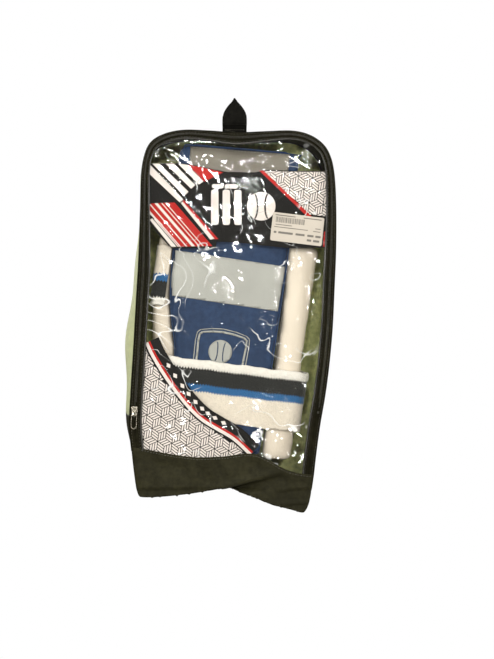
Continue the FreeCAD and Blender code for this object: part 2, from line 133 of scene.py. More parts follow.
CEILING = [
    (-0.75, -2.2, 0.55), (-0.25, -2.3, 0.75), (0.35, -2.3, 0.7), (0.95, -2.2, 0.45), (-1.1, -1.9, -0.1),
    (1.25, -1.9, 0.0), (0.1, -2.4, 0.25), (-0.5, -2.2, -0.9), (0.6, -2.2, -0.8),
]
CEILING_SIZE = (0.20, 0.05)
CEILING_WATTS = 7.0
for number, at in enumerate(CEILING):
    strip_light(f"ceiling_{number}", at, middle, CEILING_SIZE, CEILING_WATTS)

FLOOR_REACH = 1.8  # the floor fades into the white ground before its edge
FLOOR_Z = -1.6
floor_mesh = bmesh.new()
bmesh.ops.create_grid(floor_mesh, x_segments=4, y_segments=4, size=FLOOR_REACH)
floor_data = bpy.data.meshes.new("floor")
floor_mesh.to_mesh(floor_data)
floor = bpy.data.objects.new("floor", floor_data)
floor_data.transform(Matrix.Translation((0, 0, FLOOR_Z)))
bpy.context.collection.objects.link(floor)
floor_paint, tree, spot = new_material("pale_floor")
paint = add_node(tree, "ShaderNodeBsdfPrincipled", {"Base Color": linear("#f4f3f0"), "Roughness": 0.8})
flat_spot = add_node(tree, "ShaderNodeVectorMath", {0: spot, 1: (1, 1, 0)}, operation="MULTIPLY")
distance = add_node(tree, "ShaderNodeVectorMath", {0: flat_spot.outputs[0]}, operation="LENGTH")
fade = add_node(
    tree, "ShaderNodeMapRange",
    {"Value": distance.outputs["Value"], "From Min": 0.25 * FLOOR_REACH, "From Max": 0.95 * FLOOR_REACH},
    interpolation_type="SMOOTHSTEP",
)
nothing = add_node(tree, "ShaderNodeBsdfTransparent")
faded = add_node(tree, "ShaderNodeMixShader", {0: fade.outputs[0], 1: paint.outputs[0], 2: nothing.outputs[0]})
add_node(tree, "ShaderNodeOutputMaterial", {"Surface": faded.outputs[0]})
floor_data.materials.append(floor_paint)

# ---------------------------------------------------------------- bag shell
# Coated polyester cut as a front border, a strip of gusset and a back, sewn along one edge that the
# piping covers. The border's edge is a closed curve in millimetres, clockwise from the top middle.
BORDER_EDGE = [
    (0, -33.5), (32, -32), (60, -31), (79, -35), (94, -44.5), (102.5, -58), (107, -78),
    (109, -112), (109, -160), (107.5, -200), (105.5, -245), (102, -285), (97.5, -320),
    (92, -352), (87.5, -385), (83.5, -420), (80, -439), (75.5, -448.5), (71, -449.5),
    (56, -445.5), (38, -440.5), (21, -433.5), (3, -426.5), (-10, -421.8), (-32, -424.6), (-52, -427.5),
    (-79, -430), (-102, -430.5), (-108, -427), (-111, -412), (-114.5, -382), (-117, -351), (-115.5, -316),
    (-112.5, -270), (-109.5, -220), (-106.5, -170), (-104.6, -120), (-103.2, -80), (-99.5, -58),
    (-92, -44), (-77, -35.5), (-57, -31.5), (-30, -32),
]
FRONT_Y = -40.0
BACK_Y = 39.0
EDGE_STEPS = 640


def curve(p0, p1, p2, p3, steps):
    """Points of the smooth curve from p1 up to p2, which p0 and p3 steer."""
    bend, twist = 2 * p0 - 5 * p1 + 4 * p2 - p3, 3 * p1 - p0 - 3 * p2 + p3
    return [
        0.5 * (2 * p1 + (p2 - p0) * t + bend * t**2 + twist * t**3) for t in (step / steps for step in range(steps))
    ]


def smooth_loop(points, count):
    """An even run of points along the closed curve through these points."""
    fine = []
    for i in range(len(points)):
        fine += curve(*(Vector(points[(i + k - 1) % len(points)]) for k in range(4)), 24)
    ring = np.array(fine + fine[:1])
    along = np.concatenate([[0], np.cumsum(np.linalg.norm(np.diff(ring, axis=0), axis=1))])
    wanted = np.linspace(0, along[-1], count, endpoint=False)
    return np.stack([np.interp(wanted, along, ring[:, k]) for k in (0, 1)], axis=1)


edge = smooth_loop(BORDER_EDGE, EDGE_STEPS)
tangent = np.roll(edge, -3, axis=0) - np.roll(edge, 3, axis=0)
tangent /= np.linalg.norm(tangent, axis=1)[:, None]
inward = np.stack([tangent[:, 1], -tangent[:, 0]], axis=1)


def edge_point(t, inset=0.0):
    """The point at t, in turns round the border from the top middle, moved in from the edge."""
    place = (t % 1.0) * EDGE_STEPS
    i = int(place) % EDGE_STEPS
    f = place - int(place)
    j = (i + 1) % EDGE_STEPS
    here = edge[i] * (1 - f) + edge[j] * f
    side = inward[i] * (1 - f) + inward[j] * f
    return here + side * inset


def turn_at(z, left):
    """How far round the edge the bag's left or right side reaches this height."""
    way = 1 if left else -1
    spots = [i for i in range(EDGE_STEPS) if tangent[i][1] * way > 0.3]
    return min(spots, key=lambda i: abs(edge[i][1] - z)) / EDGE_STEPS


def ruled(rows, columns, place):
    """A grid whose every point is put where place(a, b) says, for a and b from 0 to 1, in millimetres."""
    bm = bmesh.new()
    bmesh.ops.create_grid(bm, x_segments=rows, y_segments=columns, size=1)
    across = bm.loops.layers.uv.new("weave")
    for face in bm.faces:
        for corner in face.loops:
            corner[across].uv = ((corner.vert.co.x + 1) / 2, (corner.vert.co.y + 1) / 2)
    for v in bm.verts:
        v.co = place((v.co.x + 1) / 2, (v.co.y + 1) / 2)
    return bm


def make_piece(name, bm, material, body=None, smooth=True):
    """Turns a shape in millimetres into a finished piece in metres, riding on a body if one is named."""
    bmesh.ops.scale(bm, vec=(0.001, 0.001, 0.001), verts=bm.verts)
    data = bpy.data.meshes.new(name)
    bm.to_mesh(data)
    bm.free()
    for face in data.polygons:
        face.use_smooth = smooth
    data.materials.append(material)
    made = bpy.data.objects.new(name, data)
    bpy.context.collection.objects.link(made)
    if body:
        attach(made, body)
    return made


def thicken(piece, millimetres):
    """Gives a sheet its thickness, half to each side."""
    wall = piece.modifiers.new("wall", "SOLIDIFY")
    wall.thickness, wall.offset = millimetres / 1000, 0.0
    return piece


def woven(name, shade, thread=0.9, depth=0.35, rough=0.78, fuzz=0.25, lift=1.35, gloss=0.35):
    """Woven cloth: warp and weft threads that cross at thread millimetres, with a worn, uneven colour."""
    made, tree, spot = new_material(name)
    turns = 1000 * math.pi / thread / 10
    warp = add_node(tree, "ShaderNodeTexWave", {"Vector": spot, "Scale": turns}, bands_direction="X")
    weft = add_node(tree, "ShaderNodeTexWave", {"Vector": spot, "Scale": turns}, bands_direction="Z")
    depthwise = add_node(tree, "ShaderNodeTexWave", {"Vector": spot, "Scale": turns}, bands_direction="Y")
    pair = add_node(tree, "ShaderNodeMath", {0: warp.outputs["Fac"], 1: weft.outputs["Fac"]}, operation="MULTIPLY")
    threads = add_node(tree, "ShaderNodeMath", {0: pair.outputs[0], 1: depthwise.outputs["Fac"]}, operation="ADD")
    cloud = add_node(tree, "ShaderNodeTexNoise", {"Vector": spot, "Scale": 26.0, "Detail": 4.0})
    grime = add_node(tree, "ShaderNodeTexNoise", {"Vector": spot, "Scale": 210.0, "Detail": 3.0})
    both = add_node(tree, "ShaderNodeMath", {0: cloud.outputs["Fac"], 1: grime.outputs["Fac"]}, operation="MULTIPLY")
    base = linear(shade)
    wear_and_glint = [min(1.0, c * lift + 0.002) for c in base[:3]] + [1.0]
    dark = [c / lift for c in base[:3]] + [1.0]
    tone = add_node(tree, "ShaderNodeMapRange", {"Value": both.outputs[0], "From Min": 0.15, "From Max": 0.4})
    colour = add_node(tree, "ShaderNodeMix", {0: tone.outputs[0], 6: dark, 7: wear_and_glint}, data_type="RGBA")
    bump = add_node(tree, "ShaderNodeBump", {"Strength": depth, "Distance": 0.0004, "Height": threads.outputs[0]})
    cloth = add_node(
        tree,
        "ShaderNodeBsdfPrincipled",
        {
            "Base Color": colour.outputs[2],
            "Roughness": rough,
            "Specular IOR Level": gloss,
            "Sheen Weight": fuzz,
            "Sheen Roughness": 0.5,
            "Normal": bump.outputs[0],
        },
    )
    add_node(tree, "ShaderNodeOutputMaterial", {"Surface": cloth.outputs[0]})
    return made


# Coated polyester looks olive black, a little shiny, with a fine square weave.
bag_cloth = woven("coated_polyester", "#211f0e", thread=0.8, rough=0.6, fuzz=0.0, gloss=0.1)
lime_cloth = woven("lime_polyester", "#bfc593", thread=0.8, rough=0.6, fuzz=0.1, gloss=0.4, lift=1.12)

CLOTH_PLY = 0.8
LEFT_BULGE = 9.0
RIGHT_BULGE = -5.0
GUSSET_SET_BACK = 3.6  # the gusset starts this far behind the border's face


def shell_point(t, depth):
    """A point of the gusset: t round the edge, and depth from 0 at the front to 1 at the back."""
    x, z = edge_point(t, max(0.0, 1.0 - depth * 7))
    out = -Vector(inward[int((t % 1.0) * EDGE_STEPS) % EDGE_STEPS])
    lift = math.sin(math.pi * min(1.0, max(0.0, depth)))
    middle = math.exp(-(((z + 262) / 85) ** 2))
    bulge = (LEFT_BULGE * lift if x < 0 else RIGHT_BULGE * lift**2) * middle * abs(out.x)
    bulge += (1.2 if x < 0 else 0.4) * lift * math.sin(z * 0.07 + 2.0 * depth) * abs(out.x)
    if z > -60:
        bulge += 2.5 * lift * math.exp(-((x / 70) ** 2)) * -abs(out.y)
    if z < -400:
        bulge -= 3.0 * lift * (1 + math.sin(x * 0.11))
    y = FRONT_Y + GUSSET_SET_BACK + (BACK_Y - FRONT_Y - GUSSET_SET_BACK) * depth
    return Vector((x + out.x * bulge, y, z + out.y * bulge))


def gusset(name, t0, t1, material, *nodes):
    steps = int(abs(t1 - t0) * EDGE_STEPS / 2)
    shape = ruled(steps, 24, lambda a, b: shell_point(t0 + (t1 - t0) * a, b))
    piece = thicken(make_piece(name, shape, material, "bag"), CLOTH_PLY)
    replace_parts(piece, *nodes)
    return piece


SIDE_TOP_Z = -82.0
ZIP_END_Z = -340.0
left_low, left_high = turn_at(ZIP_END_Z, True), turn_at(SIDE_TOP_Z, True)
right_high, right_low = turn_at(SIDE_TOP_Z, False), turn_at(ZIP_END_Z, False)
gusset("left_side", left_low, left_high, lime_cloth, "left_gusset")
gusset("right_side", right_high, right_low, lime_cloth, "right_gusset")
gusset("top_side", left_high - 1.0, right_high, bag_cloth, "top_gusset")
gusset("base_side", right_low, left_low, bag_cloth, "base_gusset")


def add_patch(bm, points):
    """Adds one flat face of this outline in the x-z plane."""
    bm.faces.new([bm.verts.new((x, 0, z)) for x, z in points])


def rule_cells(bm, cell):
    """Rules a flat shape into cells so that it can take a curve."""
    for axis in (0, 2):
        values = [v.co[axis] for v in bm.verts]
        place = math.floor(min(values) / cell + 1) * cell
        last = max(values)
        while place < last - 0.001:
            at, normal = [0, 0, 0], [0, 0, 0]
            at[axis], normal[axis] = place, 1
            parts = bm.verts[:] + bm.edges[:] + bm.faces[:]
            bmesh.ops.bisect_plane(bm, geom=parts, plane_co=at, plane_no=normal, dist=0.0001)
            place += cell


def cut_cloth(points, cell):
    """A flat piece of this outline, ruled into cells."""
    bm = bmesh.new()
    add_patch(bm, points)
    rule_cells(bm, cell)
    bmesh.ops.remove_doubles(bm, verts=bm.verts, dist=0.25)
    return bm


def back_point(x, z):
    """The back cloth hangs nearly flat, with a soft swell over the pad."""
    return BACK_Y + 0.3 - 1.4 * math.sin(z * 0.021) * math.cos(x * 0.02) + 0.5 * math.sin(x * 0.09 + z * 0.05)


back_shape = cut_cloth([tuple(p) for p in edge[::4]], 6.0)
for v in back_shape.verts:
    v.co.y = back_point(v.co.x, v.co.z)
back_cloth = make_piece("back_cloth", back_shape, bag_cloth, "bag")
thicken(back_cloth, CLOTH_PLY)
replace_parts(back_cloth, "back_panel")
# The lining's lime is lighter than the gusset's: painted light, raised to make up for the shade inside the bag.
lining_lime_painted_light = woven("lining_cloth_painted_light", "#dfe79a", thread=0.8, rough=0.7, fuzz=0.1, gloss=0.3)
lining_shape = cut_cloth([tuple(edge_point(k / 120, 2.0)) for k in range(120)], 9.0)
for v in lining_shape.verts:
    v.co.y = back_point(v.co.x, v.co.z) - 2.0
back_lining = make_piece("back_lining", lining_shape, lining_lime_painted_light, "bag")
thicken(back_lining, 0.3)

# ---------------------------------------------------------------- front border and zip
# Black zip tape sewn round the front in two strips. The outer strip belongs to the bag and the inner
# one to the front that folds down, and two nylon coils mesh between them.
ZIP_INSET = 5.9
TAPE_JOIN = 6.0  # the outer tape ends here, and the inner one starts a little further in
TAPE_END = 13.0
zip_tape = woven("zip_tape_weave", "#121003", thread=1.1, depth=0.5, rough=0.66, fuzz=0.0, gloss=0.06)


def border_inset(t, inset):
    """The border is narrower over the shoulders, where the cloth rolls back over the top."""
    x, z = edge_point(t)
    share = (0.64, 0.74, 1.0) if x < 0 else (0.74, 0.84, 1.0)
    narrow = float(np.interp(-z, (64, 110, 185), share))
    dip = math.exp(-((x / 34) ** 2))
    roll = min(1.0, max(0.0, (z + 64) / 22))
    return inset * (narrow * (1 - roll) + roll * (0.74 + 0.26 * dip))


def border_point(t, inset, proud=0.0):
    """A point on the face of the border, inset millimetres in from the bag's edge."""
    x, z = edge_point(t, border_inset(t, inset))
    roll = max(0.0, 1 - inset / 4.0)
    wave = 0.7 * math.sin(z * 0.045 + x * 0.02) + 0.4 * math.sin(z * 0.12 + 1.0 + x * 0.07)
    y = FRONT_Y + 3.0 * (1 - math.sqrt(max(0.0, 1 - roll * roll))) + wave * min(1.0, inset / 6.0)
    return Vector((x, y - proud, z))


def border_strip(name, t0, t1, inset0, inset1, material):
    """A strip of the border between two distances in from the bag's edge."""
    steps = int(abs(t1 - t0) * EDGE_STEPS)
    shape = ruled(steps, 5, lambda a, b: border_point(t0 + (t1 - t0) * a, inset0 + (inset1 - inset0) * b))
    return thicken(make_piece(name, shape, material), 0.7)


def fold_with_front(piece):
    """The piece crosses the fold. Its place is baked into its mesh, and it is tied to neither the bag nor the front.
    """
    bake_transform(piece)
    return piece


def welt(name, t0, t1, inset, radius, material, y=None):
    """A round welt that runs along the border."""
    steps = int(abs(t1 - t0) * EDGE_STEPS)

    def place(a, b):
        t = t0 + (t1 - t0) * a
        turn = 2 * math.pi * b
        side = inset + radius * math.cos(turn)
        if y is None:
            return border_point(t, side, radius * 0.8) - Vector((0, radius * math.sin(turn), 0))
        x, z = edge_point(t, side)
        return Vector((x, y + radius * math.sin(turn), z))

    shape = ruled(steps, 10, place)
    bmesh.ops.remove_doubles(shape, verts=shape.verts, dist=0.01)
    bmesh.ops.recalc_face_normals(shape, faces=shape.faces)
    return make_piece(name, shape, material)


def glossy_vinyl(name, shade, rough=0.3, grain=0.12):
    """Soft vinyl, plain and glossy, with the faint orange peel that calendering leaves."""
    made, tree, spot = new_material(name)
    peel = add_node(tree, "ShaderNodeTexNoise", {"Vector": spot, "Scale": 420.0, "Detail": 2.0})
    cloud = add_node(tree, "ShaderNodeTexNoise", {"Vector": spot, "Scale": 22.0, "Detail": 3.0})
    bump = add_node(tree, "ShaderNodeBump", {"Strength": grain, "Distance": 0.0005, "Height": peel.outputs["Fac"]})
    base = linear(shade)
    wear_and_glint = [min(1.0, c * 1.18 + 0.004) for c in base[:3]] + [1.0]
    colour = add_node(tree, "ShaderNodeMix", {0: cloud.outputs["Fac"], 6: base, 7: wear_and_glint}, data_type="RGBA")
    rub = add_node(
        tree, "ShaderNodeMapRange", {"Value": cloud.outputs["Fac"], "To Min": rough - 0.07, "To Max": rough + 0.1}
    )
    vinyl = add_node(
        tree,
        "ShaderNodeBsdfPrincipled",
        {"Base Color": colour.outputs[2], "Roughness": rub.outputs[0], "Normal": bump.outputs[0], "IOR": 1.53},
    )
    add_node(tree, "ShaderNodeOutputMaterial", {"Surface": vinyl.outputs[0]})
    return made


black_welt = glossy_vinyl("welt_vinyl", "#1c1a10", rough=0.3)
zip_from, zip_to = turn_at(ZIP_END_Z, True), turn_at(ZIP_END_Z, False)
outer_tape = border_strip("zip_outer_tape", zip_from - 1.0, zip_to, 0.0, TAPE_JOIN, zip_tape)
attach(outer_tape, "bag")
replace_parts(outer_tape, "zip_tape_outer")
foot_from, foot_to = turn_at(-379, True), turn_at(-408, False)
for name, t0, t1 in (("right", zip_to, foot_to), ("left", foot_from, zip_from)):
    lower_outer = border_strip(f"lower_outer_border_{name}", t0, t1, 0.0, TAPE_JOIN + 0.3, zip_tape)
    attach(lower_outer, "bag")
inner_tape = border_strip("zip_inner_tape", foot_from - 1.0, foot_to, TAPE_JOIN + 0.2, TAPE_END, zip_tape)
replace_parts(inner_tape, "zip_tape_inner", "lower_border_left", "lower_border_right")
fold_with_front(inner_tape)
front_welt = welt("front_welt", foot_from - 1.0, foot_to, TAPE_END - 0.4, 1.1, black_welt)
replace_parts(front_welt, "front_piping", "lower_piping")
fold_with_front(front_welt)
back_welt = welt("back_welt", 0.0, 1.0, -0.4, 1.5, black_welt, y=BACK_Y - 0.8)
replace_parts(back_welt, "back_piping")
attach(back_welt, "bag")


def bead(length, radius, sides=6):
    """One small rounded bar that lies along X, to be set down many times."""
    bm = bmesh.new()
    bmesh.ops.create_uvsphere(bm, u_segments=sides, v_segments=4, radius=1.0)
    turn = Matrix.Rotation(math.pi / 2, 4, "Y")
    bm.transform(Matrix.Diagonal((length / 2, radius, radius, 1.0)) @ turn)
    data = bpy.data.meshes.new("bead")
    bm.to_mesh(data)
    bm.free()
    return data


def set_down(shape, places):
    """One shape holding a copy of this mesh at each place."""
    bm = bmesh.new()
    for place in places:
        shape.transform(place)
        bm.from_mesh(shape)
        shape.transform(place.inverted())
    bpy.data.meshes.remove(shape)
    return bm


def border_frame(t, inset, proud):
    """A place on the border whose X runs across it, away from the edge."""
    here = border_point(t, inset, proud)
    across = (border_point(t, inset + 0.5, proud) - here).normalized()
    away = Vector((0, -1, 0))
    along = across.cross(away).normalized()
    turned = Matrix((across, along, away)).transposed().to_4x4()
    turned.translation = here
    return turned


nylon = glossy_vinyl("nylon_coil", "#232014", rough=0.38)
TOOTH_PITCH = 1.6
perimeter = float(np.linalg.norm(np.diff(edge, axis=0), axis=1).sum())


def coil(name, t0, t1, inset):
    count = int(abs(t1 - t0) * perimeter / TOOTH_PITCH)
    places = [border_frame(t0 + (t1 - t0) * k / count, inset, 0.75) for k in range(count)]
    return make_piece(name, set_down(bead(1.9, 0.5), places), nylon)


outer_coil = coil("zip_outer_coil", zip_from - 1.0 + 0.004, zip_to - 0.004, ZIP_INSET - 0.75)
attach(outer_coil, "bag")
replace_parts(outer_coil, "zip_coil_outer")
flap_from, flap_to = turn_at(-325, True), turn_at(-325, False)
inner_coil = coil("zip_inner_coil", flap_from - 1.0, flap_to, ZIP_INSET + 0.75)
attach(inner_coil, "front_panel")
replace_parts(inner_coil, "zip_coil_inner")

thread = woven("sewing_thread", "#2f2b19", thread=0.5, rough=0.6)
STITCH_PITCH = 3.2
BACK_STITCHES = 330


def stitch_row(name, t0, t1, inset, body=None):
    """A row of lockstitches that holds the tape down."""
    count = int(abs(t1 - t0) * perimeter / STITCH_PITCH)
    quarter = Matrix.Rotation(math.pi / 2, 4, "Z")
    places = [border_frame(t0 + (t1 - t0) * k / count, inset, 0.5) @ quarter for k in range(count)]
    return make_piece(name, set_down(bead(2.2, 0.26, sides=5), places), thread, body)


back_seam = []
for k in range(BACK_STITCHES):
    here, ahead = edge_point(k / BACK_STITCHES, 4.5), edge_point((k + 1) / BACK_STITCHES, 4.5)
    turn = math.atan2(ahead[1] - here[1], ahead[0] - here[0])
    place = Matrix.Translation((here[0], back_point(*here) + 0.45, here[1]))
    back_seam.append(place @ Matrix.Rotation(-turn, 4, "Y"))
make_piece("back_seam_stitches", set_down(bead(2.4, 0.28, sides=5), back_seam), thread, "bag")
stitch_row("outer_tape_stitches", foot_from - 1.0, foot_to, 2.4, "bag")
inner_stitches = stitch_row("inner_tape_stitches", foot_from - 1.0, foot_to, 10.4)
fold_with_front(inner_stitches)

# ---------------------------------------------------------------- clear window
# Soft clear vinyl, 0.4 mm thick, cut to the border and creased from packing. It reflects every lamp
# as a thin streak, and its folds lie where the film is pulled over the pad.
FILM_EDGE_Y = -38.9
CREASES = [  # (from, through, to, height, half width) in the x-z plane
    ((-95, -62), (-78, -84), (-62, -104), 1.1, 2.4),
    ((-62, -104), (-42, -122), (-26, -150), 0.9, 2.2),
    ((55, -44), (46, -66), (20, -78), 1.2, 3.0),
    ((62, -48), (78, -62), (98, -70), 1.0, 2.0),
    ((16, -116), (46, -112), (60, -92), 0.7, 2.0),
    ((60, -92), (82, -104), (100, -98), 0.7, 2.2),
    ((44, -200), (38, -232), (36, -262), 0.9, 2.0),
    ((62, -168), (76, -196), (80, -232), 0.8, 2.6),
    ((72, -210), (84, -222), (88, -252), 0.7, 1.8),
    ((2, -232), (18, -256), (30, -284), 0.6, 1.6),
    ((26, -226), (36, -258), (38, -280), 0.6, 1.6),
    ((-28, -196), (-14, -206), (8, -222), 0.7, 1.6),
    ((-60, -216), (-52, -236), (-46, -252), 0.5, 1.5),
    ((-2, -356), (18, -372), (30, -392), 1.3, 2.6),
    ((-14, -352), (8, -350), (22, -356), 1.0, 2.2),
    ((-24, -168), (-8, -176), (8, -190), 0.6, 1.7),
    ((18, -300), (44, -312), (62, -330), 0.7, 2.2),
    ((36, -320), (56, -326), (66, -342), 0.6, 1.8),
    ((-88, -42), (-80, -50), (-70, -42), 0.9, 2.0),
    ((60, -150), (70, -164), (88, -172), 0.7, 2.0),
]
chance = np.random.default_rng(7)
for _ in range(70):
    start = np.array([chance.uniform(-88, 88), chance.uniform(-390, -60)])
    heading = chance.uniform(0, math.pi)
    reach = chance.uniform(6, 20)
    step = np.array([math.cos(heading), math.sin(heading)]) * reach
    bow = np.array([-step[1], step[0]]) * chance.uniform(-0.35, 0.35)
    CREASES.append(
        (start, start + step / 2 + bow, start + step, chance.uniform(0.2, 0.5), chance.uniform(1.0, 1.6))
    )


def side_at(z, inset, left):
    """How far out the window's side is at each height in z."""
    half = edge[EDGE_STEPS // 2 :] if left else edge[: EDGE_STEPS // 2]
    order = np.argsort(half[:, 1])
    return np.interp(z, half[order][:, 1], half[order][:, 0]) + (inset if left else -inset)


def ridge(x, z, crease):
    """The height of one crease, a ridge along a bent line that dies away at both ends."""
    p0, p1, p2, height, width = crease
    best = np.zeros_like(x)
    for t in np.linspace(0, 1, 15):
        here = (1 - t) ** 2 * np.array(p0) + 2 * t * (1 - t) * np.array(p1) + t * t * np.array(p2)
        swell = math.sin(math.pi * (0.08 + 0.84 * t))
        best = np.maximum(best, swell * np.exp(-((x - here[0]) ** 2 + (z - here[1]) ** 2) / (2 * width**2)))
    return height * best


def film_relief(x, z):
    """How deep the film lies at each point: swollen over the pad, creased, and flat at its sewn edge."""
    x, z = np.asarray(x, float), np.asarray(z, float)
    left, right = side_at(z, 10.0, True), side_at(z, 10.0, False)
    margin = np.minimum(np.minimum(x - left, right - x), -44.0 - z)
    margin = np.minimum(margin, (z + 388) * 0.9 + 14)
    ease = np.clip(margin / 16, 0, 1)
    ease = ease * ease * (3 - 2 * ease)
    swell = 3.4 * np.clip(1 - (x / 105) ** 2, 0, 1) * np.clip(1 - ((z + 235) / 185) ** 2, 0, 1)
    hollow = 2.2 * np.exp(-(((z + 62) / 17) ** 2)) * np.clip(1 - (x / 80) ** 2, 0, 1)
    roll = 0.55 * np.sin(x * 0.11 + 0.8 * np.sin(z * 0.05)) * np.sin(z * 0.035 + 1.1)
    roll += 0.3 * np.sin(x * 0.05 - z * 0.16) + 0.16 * np.sin(x * 0.31 + z * 0.22 + np.sin(z * 0.1))
    depth = FILM_EDGE_Y - ease * (swell - hollow + roll)
    for crease in CREASES:
        depth -= ease * ridge(x, z, crease)
    return depth


def lay_on_film(bm, behind):
    """Sets a flat shape's depth so that it lies this far behind the film's outer face."""
    places = np.array([v.co for v in bm.verts])
    depth = film_relief(places[:, 0], places[:, 2]) + behind
    for v, y in zip(bm.verts, depth):
        v.co.y = y


YOKE_SEAM = [(-120, -374), (-104, -376), (-72, -383), (-44, -387), (-12, -386), (10, -382.5), (24, -384),
             (36, -391), (52, -401), (70, -406), (95, -408)]


def seam_z(x):
    """The height of the foot panel's seam, a soft wave that drops at the right."""
    xs, zs = zip(*YOKE_SEAM)
    spread = np.interp([x - 7, x - 3, x, x + 3, x + 7], xs, zs)
    return float(spread.mean())


def inset_ring(inset, t0, t1, steps):
    return [tuple(edge_point(t0 + (t1 - t0) * i / steps, inset)) for i in range(steps + 1)]


window_outline = inset_ring(10.4, foot_from - 1.0, foot_to, 150)
lap = [(x, seam_z(x) - 5.0) for x in np.linspace(window_outline[-1][0] - 2, window_outline[0][0] + 2, 30)]
film_shape = cut_cloth(window_outline + lap, 2.2)
bmesh.ops.subdivide_edges(film_shape, edges=film_shape.edges, cuts=1, use_grid_fill=True)
lay_on_film(film_shape, 0.0)


def clear_film(name):
    """Clear soft vinyl: it lets the pad show through, gives back sharp glints, and carries painted highlights along
    its fine creases.
    """
    made, tree, spot = new_material(name)
    ripple = add_node(
        tree, "ShaderNodeTexNoise", {"Vector": spot, "Scale": 55.0, "Detail": 3.0, "Distortion": 1.6}
    )
    vein = add_node(
        tree, "ShaderNodeTexNoise", {"Vector": spot, "Scale": 23.0, "Detail": 1.0, "Distortion": 1.5}
    )
    off = add_node(tree, "ShaderNodeMath", {0: vein.outputs["Fac"], 1: 0.5}, operation="SUBTRACT")
    near = add_node(tree, "ShaderNodeMath", {0: off.outputs[0]}, operation="ABSOLUTE")
    fold = add_node(
        tree,
        "ShaderNodeMapRange",
        {"Value": near.outputs[0], "From Min": 0.0, "From Max": 0.016, "To Min": 1.0, "To Max": 0.0},
        interpolation_type="SMOOTHSTEP",
    )
    patchy = add_node(tree, "ShaderNodeTexNoise", {"Vector": spot, "Scale": 17.0, "Detail": 2.0})
    where = add_node(
        tree, "ShaderNodeMapRange", {"Value": patchy.outputs["Fac"], "From Min": 0.52, "From Max": 0.6}
    )
    creased = add_node(tree, "ShaderNodeMath", {0: fold.outputs[0], 1: where.outputs[0]}, operation="MULTIPLY")
    height = add_node(
        tree, "ShaderNodeMath", {0: ripple.outputs["Fac"], 1: 0.3, 2: creased.outputs[0]}, operation="MULTIPLY_ADD"
    )
    bump = add_node(tree, "ShaderNodeBump", {"Strength": 0.8, "Distance": 0.0009, "Height": height.outputs[0]})
    through = add_node(tree, "ShaderNodeBsdfTransparent", {"Color": (0.955, 0.955, 0.94, 1.0)})
    glint = add_node(tree, "ShaderNodeBsdfGlossy", {"Roughness": 0.045, "Normal": bump.outputs[0]})
    share = add_node(tree, "ShaderNodeFresnel", {"IOR": 1.62})
    film = add_node(
        tree, "ShaderNodeMixShader", {0: share.outputs[0], 1: through.outputs[0], 2: glint.outputs[0]}
    )
    # Painted highlights: a white diffuse laid along the fine crease lines stands in for glints there, whatever the
    # lamps.
    painted_crease_glint = add_node(tree, "ShaderNodeBsdfDiffuse", {"Color": (0.9, 0.9, 0.86, 1.0)})
    strength = add_node(tree, "ShaderNodeMath", {0: creased.outputs[0], 1: 0.62}, operation="MULTIPLY")
    wear_and_glint = add_node(
        tree, "ShaderNodeMixShader", {0: strength.outputs[0], 1: film.outputs[0], 2: painted_crease_glint.outputs[0]}
    )
    add_node(tree, "ShaderNodeOutputMaterial", {"Surface": wear_and_glint.outputs[0]})
    return made


vinyl_film = clear_film("clear_vinyl_film")
window = make_piece("window_film", film_shape, vinyl_film)
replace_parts(window, "window_panel", "lower_window")
fold_with_front(window)

# ---------------------------------------------------------------- printed banner
# A sheet printed in black, white and red and fixed behind the top of the window. It is cut with a
# sagging top, and carries slanted stripes, a generic stumps-and-ball device and a basket pattern.
INK_STEP = 0.28  # the ink layers lie this far apart, so that each colour stays clear of the next


def ink(name, shade, rough=0.42):
    """Screen-printing ink on film: flat colour with a slight unevenness and a soft gloss."""
    made, tree, spot = new_material(name)
    cloud = add_node(tree, "ShaderNodeTexNoise", {"Vector": spot, "Scale": 60.0, "Detail": 4.0})
    base = linear(shade)
    faded = [min(1.0, c * 0.9 + 0.006) for c in base[:3]] + [1.0]
    colour = add_node(tree, "ShaderNodeMix", {0: cloud.outputs["Fac"], 6: base, 7: faded}, data_type="RGBA")
    dried = add_node(
        tree,
        "ShaderNodeBsdfPrincipled",
        {"Base Color": colour.outputs[2], "Roughness": rough, "Specular IOR Level": 0.12},
    )
    add_node(tree, "ShaderNodeOutputMaterial", {"Surface": dried.outputs[0]})
    return made


black_ink = ink("black_ink", "#0c0b08", rough=0.6)
white_ink = ink("white_ink", "#e2d8d0")
red_ink = ink("red_ink", "#b01a13")


def clip(bm, points):
    """Cuts a flat shape down to a convex outline, given clockwise as seen from the front."""
    for (x0, z0), (x1, z1) in zip(points, points[1:] + points[:1]):
        parts = bm.verts[:] + bm.edges[:] + bm.faces[:]
        normal = (-(z1 - z0), 0, x1 - x0)
        bmesh.ops.bisect_plane(bm, geom=parts, plane_co=(x0, 0, z0), plane_no=normal, clear_outer=True)


def printed(name, bm, material, layer, cell=1.6, body="front_panel"):
    """A flat printed shape laid behind the film. Layer 1 is nearest to the film."""
    rule_cells(bm, cell)
    lay_on_film(bm, INK_STEP * layer)
    bmesh.ops.recalc_face_normals(bm, faces=bm.faces)
    return make_piece(name, bm, material, body, smooth=False)


BANNER = [
    (-98, -68), (-74, -67.4), (-56, -67.8), (-40, -70.2), (-26, -73.6), (-12, -76.2), (20, -76.5), (34, -74),
    (58, -74.5), (99, -74.5), (101, -158), (60, -159), (26, -156), (2, -153), (-22, -152), (-23, -159),
    (-70.5, -159.6), (-84, -146), (-95, -132), (-97, -118),
]
banner_shape = bmesh.new()
add_patch(banner_shape, BANNER)
banner = printed("banner", banner_shape, black_ink, 3)
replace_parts(banner, "banner_print")


def print_patches(name, patches, material, layer, outline=None):
    """Several flat patches in one ink, cut to an outline if one is given."""
    bm = bmesh.new()
    for points in patches:
        add_patch(bm, points)
    if outline:
        clip(bm, outline)
    return printed(name, bm, material, layer)


